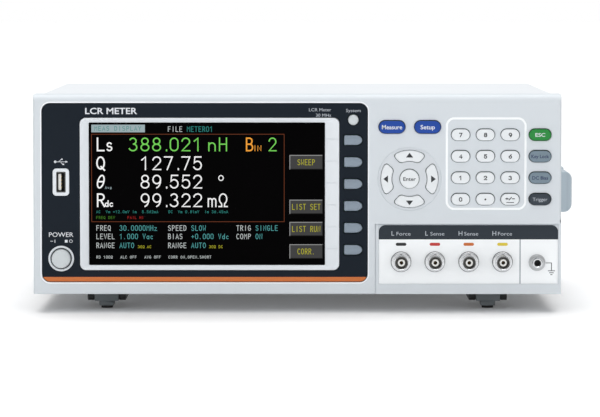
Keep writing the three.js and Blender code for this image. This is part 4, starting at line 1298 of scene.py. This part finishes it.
def make_display():
    """The glass and what it shows, placed from the window's upper left corner, x right and y down."""
    refined("lcd_module", GLASS, 0.2, "display_module")
    picture = Panel(front.at(*PICTURE_CORNER), RIGHT, UP)
    level = PICTURE_LEVEL

    def write(name, material, cap, lines, **how):
        """Lines of (text, x, y), all in one size."""
        spread = [(text, x, -y, cap, how) for text, x, y in lines]
        pen_lettering(name, picture, spread, level + 0.02, material)

    def fill(name, areas, material, lift=0.0):
        shapes = [bar(x0, x1, -y1, -y0) for x0, x1, y0, y1 in areas]
        marks(name, picture, shapes, level, level + 0.01 + lift, material)

    small = {"pitch": 2.53, "wide": 1.75, "pen": 0.36}
    tiny = {"pitch": 1.58, "wide": 1.05, "pen": 0.24}
    fill("display_title_bar", [(1.0, 36.1, 1.2, 6.2)], LIT_GREY)
    write("display_title", LIT_TEAL, 3.0, [("MEAS DISPLAY", 3.0, 3.7)], pitch=2.62, wide=1.75, pen=0.3)
    write("display_file", LIT_SOFT, SMALL, [("FILE", 51.2, 4.1)], **small)
    write("display_file_name", LIT_TEAL, SMALL, [("METER01", 63.8, 4.1)], pitch=2.5, wide=1.75, pen=0.42)
    edge = 0.35
    box = (0.9, 127.6, 7.3, 65.1)
    sides = [
        (box[0], box[1], box[2], box[2] + edge),
        (box[0], box[1], box[3] - edge, box[3]),
        (box[0], box[0] + edge, box[2], box[3]),
        (box[1] - edge, box[1], box[2], box[3]),
    ]
    fill("display_box", sides, LIT_BROWN)
    symbols = []
    for index, (y, symbol, value, unit, x, ink) in enumerate(READOUTS):
        whole, part = value.split(".")
        point = x + len(whole) * DIGIT_PITCH
        digits = [(whole, x, y), (".", point - 0.6, y), (part, point + POINT_PITCH, y)]
        write(f"display_value_{index}", ink, BIG, digits, pitch=DIGIT_PITCH, wide=5.5, pen=0.84)
        if unit:
            write(f"display_unit_{index}", ink, BIG, [(unit, UNIT_X, y)], pitch=UNIT_PITCH, wide=5.4, pen=0.8)
        if symbol != "θ":
            symbols.append((symbol, 4.4, y))
    write("display_symbols", LIT_WHITE, BIG, symbols, wide=5.2, pen=1.0)
    angle = [("θ", 3.6, READOUTS[2][0])]
    write("display_angle_symbol", LIT_WHITE, BIG, angle, wide=5.0, pen=0.95, slant=0.22)
    suffixes = [("s", 10.9, READOUTS[0][0] - 0.05)]
    write("display_suffix", LIT_WHITE, BIG, suffixes, wide=3.8, pen=0.9)
    suffixes = [("dc", 9.8, READOUTS[3][0] + 2.2)]
    write("display_rdc_suffix", LIT_WHITE, 4.4, suffixes, pitch=3.0, wide=2.4, pen=0.7)
    write("display_degree", LIT_WHITE, BIG, [("°", 84.2, READOUTS[2][0])], wide=4.4, pen=0.6)
    write("display_bin", LIT_ORANGE, BIG, [("B", 102.3, READOUTS[0][0])], wide=4.7, pen=0.9)
    bin_end = [("IN", 107.0, READOUTS[0][0] + 2.5)]
    write("display_bin_word", LIT_ORANGE, 3.8, bin_end, pitch=2.9, wide=2.5, pen=0.42)
    write("display_bin_count", LIT_GREEN, BIG, [("2", 117.3, READOUTS[0][0])], wide=4.9, pen=0.8)
    monitor = [("AC  Vm +12.0mV Im  5.562mA    DC  Vm 0.81mV  Im 36.45nA", 4.1, 58.4)]
    write("display_monitor", LIT_TEAL, TINY, monitor, **tiny)
    write("display_average", LIT_GREY, TINY, [("Avg", 9.9, 42.4)], **tiny)
    write("display_freq_state", LIT_MOSS, TINY, [("FREQ DEV", 4.1, 62.2)], **tiny)
    write("display_load_state", LIT_RED, TINY, [("FAIL HI", 24.6, 62.2)], **tiny)
    titles, values = [], []
    for y, *groups in SETTINGS:
        for (title, value), (title_x, value_x) in zip(groups, SETTING_COLUMNS):
            titles.append((title, title_x, y))
            values.append((value, value_x, y))
    write("display_setting_titles", LIT_SOFT, SMALL, titles, **small)
    write("display_setting_values", LIT_CYAN, SMALL, values, **small)
    units = [("30Ω", 31.4, 81.4), ("AC", 37.4, 81.4), ("30Ω", 78.2, 81.4), ("DC", 84.4, 81.4)]
    write("display_units", LIT_YELLOW, TINY, units, **tiny)
    foot = [("RD 100Ω   ALC OFF   AVG OFF   CORR ON,OPEN,SHORT", 4.1, 88.2)]
    write("display_foot_line", LIT_SOFT, TINY, foot, **tiny)
    left, right = SOFT_KEY_EDGES
    fill("display_buttons", [(left, right, y0, y1) for y0, y1, _ in SOFT_KEYS], LIT_BUTTON)
    lights = [(left, right, y0, y0 + 0.5) for y0, _, _ in SOFT_KEYS]
    lights += [(left, left + 0.5, y0 + 0.5, y1) for y0, y1, _ in SOFT_KEYS]
    fill("display_button_edges", lights, LIT_EDGE, 0.02)
    shades = [(left, right, y1 - 0.5, y1) for _, y1, _ in SOFT_KEYS]
    shades += [(right - 0.5, right, y0, y1 - 0.5) for y0, y1, _ in SOFT_KEYS]
    fill("display_button_shades", shades, LIT_SHADE, 0.02)
    names = []
    for y0, y1, text in SOFT_KEYS:
        length = (len(text) - 1) * 2.4 + 1.7
        names.append((text, (left + right - length) / 2, (y0 + y1) / 2))
    write("display_button_names", LIT_YELLOW, 3.9, names, pitch=2.4, wide=1.7, pen=0.4)


# ------------------------------------------------------------------ test terminals
JACKS = ("low_force", "low_sense", "high_sense", "high_force")


def make_terminal_panel():
    refined("terminal_panel", SHELL, 0.2, "terminal_moulding", merge=False)
    left, right, low, top = 53.45, 171.1, 6.7, 45.3
    split = 35.9
    floor = -1.8
    face = ((left + right) / 2, (split + low) / 2)
    rings = []
    for inward, out in ((0, floor), (0, floor + 0.08), (0.08, floor + 0.14)):
        rings.append(on_panel(front, rounded_rect(right - left, split - low, 0.4, *face, inward=inward), out))
    jacks = [(circle(4.2), *front.spot(f"bnc_jack_{use}")[:2]) for use in JACKS]
    jacks.append((circle(3.3), *front.spot("ground_terminal")[:2]))
    mesh = carved(loft("terminal_plate", rings), prisms(front, jacks, floor - 1, floor + 1))
    finish_mesh(mesh)
    add_piece("terminal_plate", mesh, PLATE_AND_HIGHLIGHT)
    width, height = right - left, top - split
    x, y = (left + right) / 2, (top + split) / 2
    heading = partial(rounded_rect, width, height, 4.3, x, y, low_radius=0.3)
    raised("terminal_heading", front, heading, floor, floor + 0.14, HEADING, 0.08)
    level = floor + 0.15
    colours = {"low_force": BLACK, "low_sense": INK_RED, "high_sense": INK_ORANGE, "high_force": INK_YELLOW}
    names = {"low_force": ("L", "Force"), "low_sense": ("L", "Sense")}
    names.update(high_sense=("H", "Sense"), high_force=("H", "Force"))
    lines = []
    for use, (first, word) in names.items():
        x, _, _ = front.spot(f"bnc_jack_{use}")
        lines.append((first, x - 5.4, 39.9, 2.9, {"bold": 0.02}))
        lines.append((word, x - 3.0, 39.65, 2.3, {"align": "left", "width": 9.2}))
        stripe = partial(pill, 6.9, 2.0)
        raised(f"bnc_stripe_{use}", front, stripe, floor, floor + 0.2, colours[use], 0.06, x, 32.7)
    lettering("terminal_lettering", front, lines, level, INK_PALE)
    # The divider is a flat grey strip: a painted shadow of a groove.
    divider = [bar(145.8, 146.6, low, split)]
    marks("terminal_divider", front, divider, floor, floor + 0.17, GROOVE_SHADE)
    earth_x, earth_y, _ = front.spot("ground_terminal")
    stem = earth_x + 9.5
    lines = [
        bar(earth_x + 5.7, stem, earth_y - 0.45, earth_y - 0.05),
        bar(stem - 0.25, stem + 0.25, earth_y - 5.2, earth_y - 0.1),
        bar(stem - 2.3, stem + 2.3, earth_y - 5.7, earth_y - 5.2),
        bar(stem - 1.5, stem + 1.5, earth_y - 7.0, earth_y - 6.5),
        bar(stem - 0.7, stem + 0.7, earth_y - 8.2, earth_y - 7.7),
    ]
    marks("earth_symbol", front, lines, floor, level + 0.02, INK_DARK)


def make_bnc_jacks():
    """Bayonet jacks: washer, nut and barrel in nickel, a white insulator and a gilt contact; the well, a
    black bore lining and the contact are darkened as painted shade.
    """
    barrel, flange, bore = 4.85, 6.45, 4.05
    for use in JACKS:
        node = f"bnc_jack_{use}"
        x, y, end = front.spot(node)
        seat = end - 11.4
        profile = [
            (0, seat - 20),
            (1.0, seat - 20),
            (1.0, seat - 15),
            (4.4, seat - 15),
            (4.4, seat),
            (flange - 0.15, seat),
            (flange, seat + 0.15),
            (flange, seat + 1.9),
            (flange - 0.18, seat + 2.2),
            (flange - 0.5, seat + 2.4),
            (barrel - 0.25, seat + 2.4),
            (barrel - 0.25, seat + 3.1),
            (barrel, seat + 3.4),
            (barrel, end - 0.5),
            (barrel - 0.18, end - 0.12),
            (barrel - 0.45, end),
            (bore + 0.3, end),
            (bore + 0.1, end - 0.2),
            (bore + 0.1, end - 7.5),
            (0, end - 7.5),
        ]
        place = front.placed(x, y)
        raised(f"bnc_gasket_{use}", front, partial(circle, 6.75), seat - 0.5, seat + 0.25, BLACK, 0.1, x, y)
        add_piece(f"bnc_barrel_{use}", turned("barrel", profile), NICKEL, replaces=(node,), place=place)
        # The well inside the barrel is the darker metal: painted shade down in the hole.
        well = [(bore, end - 0.9), (bore, end - 7.4), (2.3, end - 7.4), (2.3, end - 7.0)]
        well += [(bore - 0.35, end - 7.0), (bore - 0.35, end - 0.9)]
        rings = [on_panel(front, circle(radius), out, x, y) for radius, out in well]
        add_piece(f"bnc_well_{use}", loft("well", rings, wrap=True), SHADED_METAL)
        inner = [
            (0, end - 7.3),
            (2.4, end - 7.3),
            (2.4, end - 1.6),
            (2.2, end - 1.3),
            (1.35, end - 1.3),
            (1.2, end - 1.5),
            (1.2, end - 6.6),
            (0, end - 6.6),
        ]
        # A thin black lining in the insulator's bore: painted shade deep in the hole.
        bore_shade_rings = [(1.2, end - 1.75), (1.2, end - 6.6), (0.6, end - 6.6), (0.6, end - 6.4)]
        bore_shade_rings += [(1.1, end - 6.4), (1.1, end - 1.75)]
        rings = [on_panel(front, circle(radius, steps=32), out, x, y) for radius, out in bore_shade_rings]
        add_piece(f"bnc_bore_shade_{use}", loft("bore_shade_rings", rings, wrap=True), BLACK)
        add_piece(f"bnc_insulator_{use}", turned("insulator", inner), INSULATOR, place=place)
        pin = [
            (0, end - 6.4),
            (0.6, end - 6.4),
            (0.6, end - 5.2),
            (0.55, end - 5.0),
            (0.4, end - 5.0),
            (0.35, end - 5.2),
            (0.35, end - 6.0),
            (0, end - 6.0),
        ]
        # The contact is in the darker gold: painted shade at the bottom of the bore.
        add_piece(f"bnc_contact_{use}", turned("contact", pin, 40), SHADED_GOLD, place=place)
        for side in (-1, 1):
            stud = [(0, 3.9), (0.95, 3.9), (0.95, 5.65), (0.8, 5.84), (0, 5.84)]
            turn = Matrix.Rotation(-side * math.pi / 2, 4, "X")
            where = front.placed(x, y, end - 4.5) @ turn
            label = "upper" if side == 1 else "lower"
            add_piece(f"bnc_stud_{use}_{label}", turned("stud", stud, 32), NICKEL, place=where)


def make_ground_terminal():
    """A 4 mm socket: washer, knurled nut, threaded tube and a black lining in its bore that paints the shade
    inside the hole.
    """
    x, y, end = front.spot("ground_terminal")
    seat = end - 7.5
    washer = partial(circle, 5.5)
    raised("ground_washer", front, washer, seat, seat + 0.5, SOCKET_METAL, 0.15, x, y)
    teeth, crest, root = 22, 5.0, 4.65
    turns = [2 * math.pi * step / (2 * teeth) for step in range(2 * teeth)]
    knurl = []
    for step, turn in enumerate(turns):
        radius = crest if step % 2 else root
        knurl.append((radius * math.cos(turn), radius * math.sin(turn)))
    grip, hole = offset_of(knurl), circle(3.3, steps=2 * teeth)
    foot, top, chamfer = seat + 0.4, seat + 3.0, 0.35
    nut = [(grip(0), foot), (grip(0), top - chamfer), (grip(chamfer), top), (hole, top), (hole, foot)]
    rings = [on_panel(front, outline, out, x, y) for outline, out in nut]
    add_piece("ground_nut", loft("ground_nut", rings, wrap=True), SOCKET_METAL)
    place = front.placed(x, y)
    tube, bore, pitch = 3.5, 2.1, 0.7
    profile = [(0, seat - 16), (tube - 0.2, seat - 16), (tube - 0.2, seat + 2.9)]
    level = seat + 2.9
    while level < end - 1.0:
        profile += [(tube - 0.25, level), (tube, level + pitch / 2)]
        level += pitch
    profile += [
        (tube - 0.1, end - 0.5),
        (tube - 0.5, end),
        (bore + 0.35, end),
        (bore, end - 0.35),
        (bore, seat - 11),
        (0, seat - 11),
    ]
    mesh = turned("ground_tube", profile)
    add_piece("ground_tube", mesh, NICKEL, replaces=("ground_terminal",), place=place)
    outer, inner = bore - 0.05, bore - 0.4
    low, high = end - 6.2, end - 0.9
    # A black lining inside the bore: painted shade in the hole.
    bore_shade_profile = [(0, low), (outer, low), (outer, high), (inner, high), (inner, low + 0.4), (0, low + 0.4)]
    add_piece("ground_bore_shade", turned("ground_bore_shade", bore_shade_profile), BLACK, place=place)


# ------------------------------------------------------------------ case
def screw(name, panel, x, y, out, radius=3.0, height=1.8):
    """A pan-head screw with a cross recess."""
    head = [
        (0, 0.0),
        (radius, 0.0),
        (radius, height * 0.35),
        (radius * 0.94, height * 0.62),
        (radius * 0.75, height * 0.86),
        (radius * 0.45, height * 0.97),
        (0.05, height),
        (0, height),
    ]
    mesh = turned(name, head, 40)
    arm, half = radius * 0.56, radius * 0.11
    cross = [(half, -arm), (half, -half), (arm, -half), (arm, half), (half, half), (half, arm)]
    cross += [(-across, -up) for across, up in cross]
    metres = [(across * MM, up * MM) for across, up in cross]
    points = [(*point, level * MM) for level in (height * 0.45, 2 * height) for point in metres]
    count = len(cross)
    faces = [tuple(range(count)), tuple(range(count, 2 * count))]
    faces += [(step, (step + 1) % count, count + (step + 1) % count, count + step) for step in range(count)]
    mesh = carved(mesh, mesh_of("cross", points, faces))
    finish_mesh(mesh, 40)
    return add_piece(name, mesh, SCREW_METAL, place=panel.placed(x, y, out))


def make_case():
    refined("top_cover", COVER, 0.3, "cover")
    refined("chassis_tray", SHEET, 0.25, "tray")
    for side, panel, sign in (("right", right_side, 1), ("left", left_side, -1)):
        for index, depth in enumerate((44, 300)):
            screw(f"cover_screw_{side}_low_{index}", panel, sign * depth, 10, 0.0, 2.8, 1.0)
    for index, x in enumerate((-150, -50, 50, 150)):
        screw(f"cover_screw_rear_{index}", rear, x, 124, 0.0, 2.6, 1.5)


def make_rear():
    refined("ac_inlet", BLACK, 0.4, "mains_inlet")
    inlet_x, inlet_y, inlet_out = rear.spot("ac_inlet")
    blade = partial(rounded_rect, 2, 4.2, 0.3)
    for name, across, up in (("live", -7, 1.8), ("neutral", 7, 1.8), ("earth", 0, -2.2)):
        raised(f"inlet_blade_{name}", rear, blade, -12.5, 0.5, NICKEL, 0.3, inlet_x + across, inlet_y - up)
    for side in (-1, 1):
        screw(f"inlet_screw_{side + 1}", rear, inlet_x + side * 20, inlet_y, inlet_out, 2.6, 1.4)

    refined("fan_frame", BLACK, 0.4, "fan_housing")
    refined("fan_rotor", BLACK, 0.35, "fan_blades")
    fan_x, fan_y, _ = rear.spot("fan_frame")
    for across in (-25, 25):
        for up in (-25, 25):
            name = f"fan_screw_{'left' if across < 0 else 'right'}_{'low' if up < 0 else 'high'}"
            screw(name, rear, fan_x + across, fan_y + up, 0.0, 2.8, 1.6)
    reach = [(rounded_rect(200, 100, 1, 18, 63), 0, 0)]
    refined("interface_board", BOARD, 0.0, "connector_board", cut=prisms(rear, reach, -15.6, 12))
    make_rear_connectors()
    labels = [
        ("BUS", 62, 98.5, 2.6, {}),
        ("HANDLER", -10, 98.5, 2.6, {}),
        ("RS-232", 76, 55.5, 2.6, {}),
        ("USB", 38, 55.5, 2.6, {}),
        ("LAN", 10, 55.5, 2.6, {}),
        ("AC INPUT", inlet_x, inlet_y + 19.5, 2.8, {}),
    ]
    lettering("rear_lettering", rear, labels, 0.01, INK_DARK)


def shell_outline(width, height, lean_in, corner):
    """A connector's outline, narrower at its foot, with rounded corners."""
    half, top = width / 2, height / 2
    corners = [(half - lean_in, -top), (half, top), (-half, top), (-half + lean_in, -top)]
    outline = []
    for index, here in enumerate(corners):
        before = (Vector(corners[index - 1]) - Vector(here)).normalized() * corner
        after = (Vector(corners[(index + 1) % 4]) - Vector(here)).normalized() * corner
        first, last = tuple(Vector(here) + before), tuple(Vector(here) + after)
        outline += [first, *corner_curve(first, here, last), last]
    return outline


# Each connector: middle, flange, shell, how far it stands out, the pitch of its contacts, their rows.
PLUGS = (
    ("bus", (62, 88), (53, 13), (37, 9.6), 7.0, 2.16, ((1.2, 12), (-1.2, 12))),
    ("handler", (-10, 88), (54, 12.5), (43, 9.4), 6.0, 2.16, ((1.2, 18), (-1.2, 18))),
    ("serial", (76, 45), (31, 12.5), (18, 9.0), 6.0, 2.77, ((1.4, 5), (-1.4, 4))),
)


def make_rear_connectors():
    """Three plug-in connectors with plated shells, a square data socket and a network socket."""
    face, behind = 0.9, -15.0
    for use, (x, y), flange, shell, out, pitch, rows in PLUGS:
        plate = partial(rounded_rect, *flange, 1.2)
        raised(f"{use}_flange", rear, plate, behind, face, SOCKET_METAL, 0.25, x, y)
        outer = shell_outline(*shell, 1.3, 1.8)
        rim = (offset_of(outer), offset_of(inset(outer, 0.5)))
        bezel(f"{use}_shell", rear, *rim, face - 0.3, out, SOCKET_METAL, 0.15, x, y)
        core = offset_of(inset(outer, 1.5))
        raised(f"{use}_insulator", rear, core, face - 0.3, out - 1.2, BLACK, 0.3, x, y)
        contacts = []
        for up, count in rows:
            for index in range(count):
                contacts.append((circle(0.42, steps=12), x + (index - (count - 1) / 2) * pitch, y + up))
        marks(f"{use}_contacts", rear, contacts, out - 1.4, out - 1.05, GOLD)
        for side, label in ((-1, "left"), (1, "right")):
            across = x + side * (flange[0] + shell[0]) / 4
            nut = partial(circle, 2.6, steps=6)
            raised(f"{use}_jack_{label}", rear, nut, face - 0.2, out - 1.0, NICKEL, 0.3, across, y)
    x, y = 38, 45
    usb, hollow = partial(rounded_rect, 12, 11, 0.5), partial(rounded_rect, 8.6, 7.6, 1.2)
    bezel("usb_device_shell", rear, usb, hollow, behind, 0.6, SOCKET_METAL, 0.2, x, y)
    tongue = partial(rounded_rect, 5.6, 3.2, 0.3)
    raised("usb_device_tongue", rear, tongue, behind, -0.6, INSULATOR, 0.2, x, y)
    x, y = 10, 46
    case, mouth = partial(rounded_rect, 16, 13.5, 0.5), partial(rounded_rect, 11.8, 8.6, 0.4)
    bezel("network_socket_shell", rear, case, mouth, behind, 0.6, SOCKET_METAL, 0.2, x, y)
    floor = partial(rounded_rect, 12.2, 9.0, 0.4)
    raised("network_socket_floor", rear, floor, behind, -12.1, BLACK, 0.2, x, y)
    springs = [(rounded_rect(0.45, 1.6, 0.1), x + (index - 3.5) * 1.1, y + 3.2) for index in range(8)]
    marks("network_socket_contacts", rear, springs, -12.2, -4.0, GOLD)
    for side, label, ink in ((-1, "right", LIT_GREEN), (1, "left", LIT_YELLOW)):
        lamp, across, up = partial(circle, 0.8, steps=24), x + side * 5.6, y + 5.5
        raised(f"network_lamp_{label}", rear, lamp, 0.3, 0.75, ink, 0.2, across, up)


# ------------------------------------------------------------------ strap
def make_strap():
    """Two end caps, the strap between them and its ribbed grip."""
    for end in ("front", "rear"):
        refined(f"strap_cap_{end}", CAP, 1.2, f"strap_end_{end}", segments=3)
    refined("carry_strap", STRAP, 0.5, "strap_band", segments=3)
    depth, height, out = right_side.spot("carry_strap")
    _, _, low, high = right_side.span("carry_strap")
    pitch, count = 6.0, 17
    rib = partial(rounded_rect, 2.6, high - low - 5.0, 1.2)
    for index in range(count):
        along = depth + (index - (count - 1) / 2) * pitch
        raised(f"strap_rib_{index + 1}", right_side, rib, out - 0.6, out + 0.6, STRAP, 0.5, along, height)


# ------------------------------------------------------------------ feet
def make_feet():
    for place in ("front_left", "front_right", "rear_left", "rear_right"):
        node = f"foot_{place}"
        refined(node, FOOT, 0.5, f"{node}_block", segments=3)
        low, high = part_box(node)
        x = ((low.x + high.x) / 2 - CASE_X) / MM
        depth = (low.y - FRONT_Y) / MM + 9.0
        out = (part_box("chassis_tray")[0].z - low.z) / MM
        raised(f"{node}_pad", underside, partial(circle, 3.9), out - 1.4, out, PAD, 0.35, x, -depth)
    for side in ("left", "right"):
        refined(f"tilt_leg_{side}", BLACK, 0.4, f"tilt_leg_{side}_bail", segments=2)
    for index, x in enumerate((-110, 110)):
        for step, depth in enumerate((100, 200)):
            screw(f"base_screw_{index}_{step}", underside, x, -depth, 0.0, 2.8, 1.2)


# ------------------------------------------------------------------ inside
def make_inside():
    for node in ("main_board", "power_supply", "key_board"):
        refined(node, BOARD, 0.0, f"{node}_assembly")


# ------------------------------------------------------------------ stage
def make_floor():
    """A plain pale table that runs to the far background."""
    finish = Finish("floor_white")
    mottle = finish.noise(80, 3.0)
    finish.set(
        Base_Color=finish.mix(mottle, (0.86, 0.86, 0.865, 1), (0.88, 0.88, 0.88, 1)),
        Roughness=mottle * 0.1 + 0.6,
        Emission_Color=(1, 1, 1, 1),
        Emission_Strength=0.085,
    )
    bpy.ops.mesh.primitive_plane_add(size=40, location=(0, 0, -0.0002))
    floor = bpy.context.object
    floor.name = "floor"
    floor.data.materials.append(finish.material)


def softbox(name, place, aim, size, power, colour=(1, 1, 1)):
    light = bpy.data.lights.new(name, "AREA")
    light.shape = "RECTANGLE"
    light.size, light.size_y = size
    light.energy = power
    light.color = colour
    holder = bpy.data.objects.new(name, light)
    holder.location = place
    holder.rotation_euler = (Vector(aim) - Vector(place)).to_track_quat("-Z", "Y").to_euler()
    bpy.context.scene.collection.objects.link(holder)


ROOM_FRONT, ROOM_SIDES = 0.13, 1.0
MIRROR_DARK, MIRROR_LIT = 0.1, 0.9
SKY_POWER, SKY_SPREAD, SKY_LEAN = 2.7, 60, -17


def make_light():
    """Soft light from above and both sides, dimmer behind the camera so that metal keeps its contrast."""
    world = bpy.data.worlds.new("studio")
    world.use_nodes = True
    room = Nodes(world.node_tree)
    room.tree.nodes.remove(room.tree.nodes["Background"])
    direction = room.node("ShaderNodeTexCoord", output="Generated")
    turn = room.node("ShaderNodeMapping", {}, {"Vector": direction, "Rotation": (0, 0, math.pi / 2)})
    across = room.node("ShaderNodeTexGradient", {"gradient_type": "LINEAR"}, {"Vector": turn}, "Fac")
    shade = {"Value": across, "From Max": 0.9, "To Min": ROOM_FRONT, "To Max": ROOM_SIDES}
    walls = room.node("ShaderNodeBackground", {}, {"Color": room.node("ShaderNodeMapRange", {}, shade)})
    ahead = room.node("ShaderNodeSeparateXYZ", {}, {"Vector": direction}, "Y")
    above = room.node("ShaderNodeSeparateXYZ", {}, {"Vector": direction}, "Z")
    facing = room.node("ShaderNodeMath", {"operation": "ABSOLUTE"}, {0: ahead})
    panels = []
    for value, low, high in ((facing, 0.8, 0.93), (above, 0.6, 0.85)):
        edge = {"Value": value, "From Min": low, "From Max": high}
        edge.update({"To Min": MIRROR_DARK, "To Max": MIRROR_LIT})
        panels.append(room.node("ShaderNodeMapRange", {}, edge))
    mirrored = {"Color": (1, 1, 1, 1), "Strength": room.maths("MAXIMUM", *panels)}
    reflected = room.node("ShaderNodeBackground", {}, mirrored)
    white = room.node("ShaderNodeBackground", {}, {"Color": (1, 1, 1, 1)})
    glossy = room.node("ShaderNodeLightPath", output="Is Glossy Ray")
    seen = room.node("ShaderNodeLightPath", output="Is Camera Ray")
    light = room.node("ShaderNodeMixShader", {}, {"Fac": glossy, 1: walls, 2: reflected})
    choose = room.node("ShaderNodeMixShader", {}, {"Fac": seen, 1: light, 2: white})
    room.plug(room.tree.nodes["World Output"].inputs["Surface"], choose)
    bpy.context.scene.world = world
    bpy.context.scene.view_settings.view_transform = "Standard"
    sun = bpy.data.lights.new("sky", "SUN")
    sun.energy = SKY_POWER
    sun.angle = math.radians(SKY_SPREAD)
    holder = bpy.data.objects.new("sky", sun)
    holder.rotation_euler = (math.radians(SKY_LEAN), 0, 0)
    bpy.context.scene.collection.objects.link(holder)
    softbox("front_left", (-1.5, -1.9, 0.5), (0, -0.1, 0.07), (1.0, 1.0), 5)
    softbox("front_right", (1.5, -1.9, 0.5), (0, -0.1, 0.07), (0.7, 1.0), 3)
    softbox("overhead", (0, -0.8, 1.35), (0, -0.15, 0.12), (2.4, 0.5), 3.0)


make_front_shell()
make_dish()
make_fascia()
make_screen_frame()
make_display()
make_fascia_lettering()
make_power_button()
make_usb_host()
make_keys()
make_terminal_panel()
make_bnc_jacks()
make_ground_terminal()
make_case()
make_rear()
make_strap()
make_feet()
make_inside()
make_floor()
make_light()
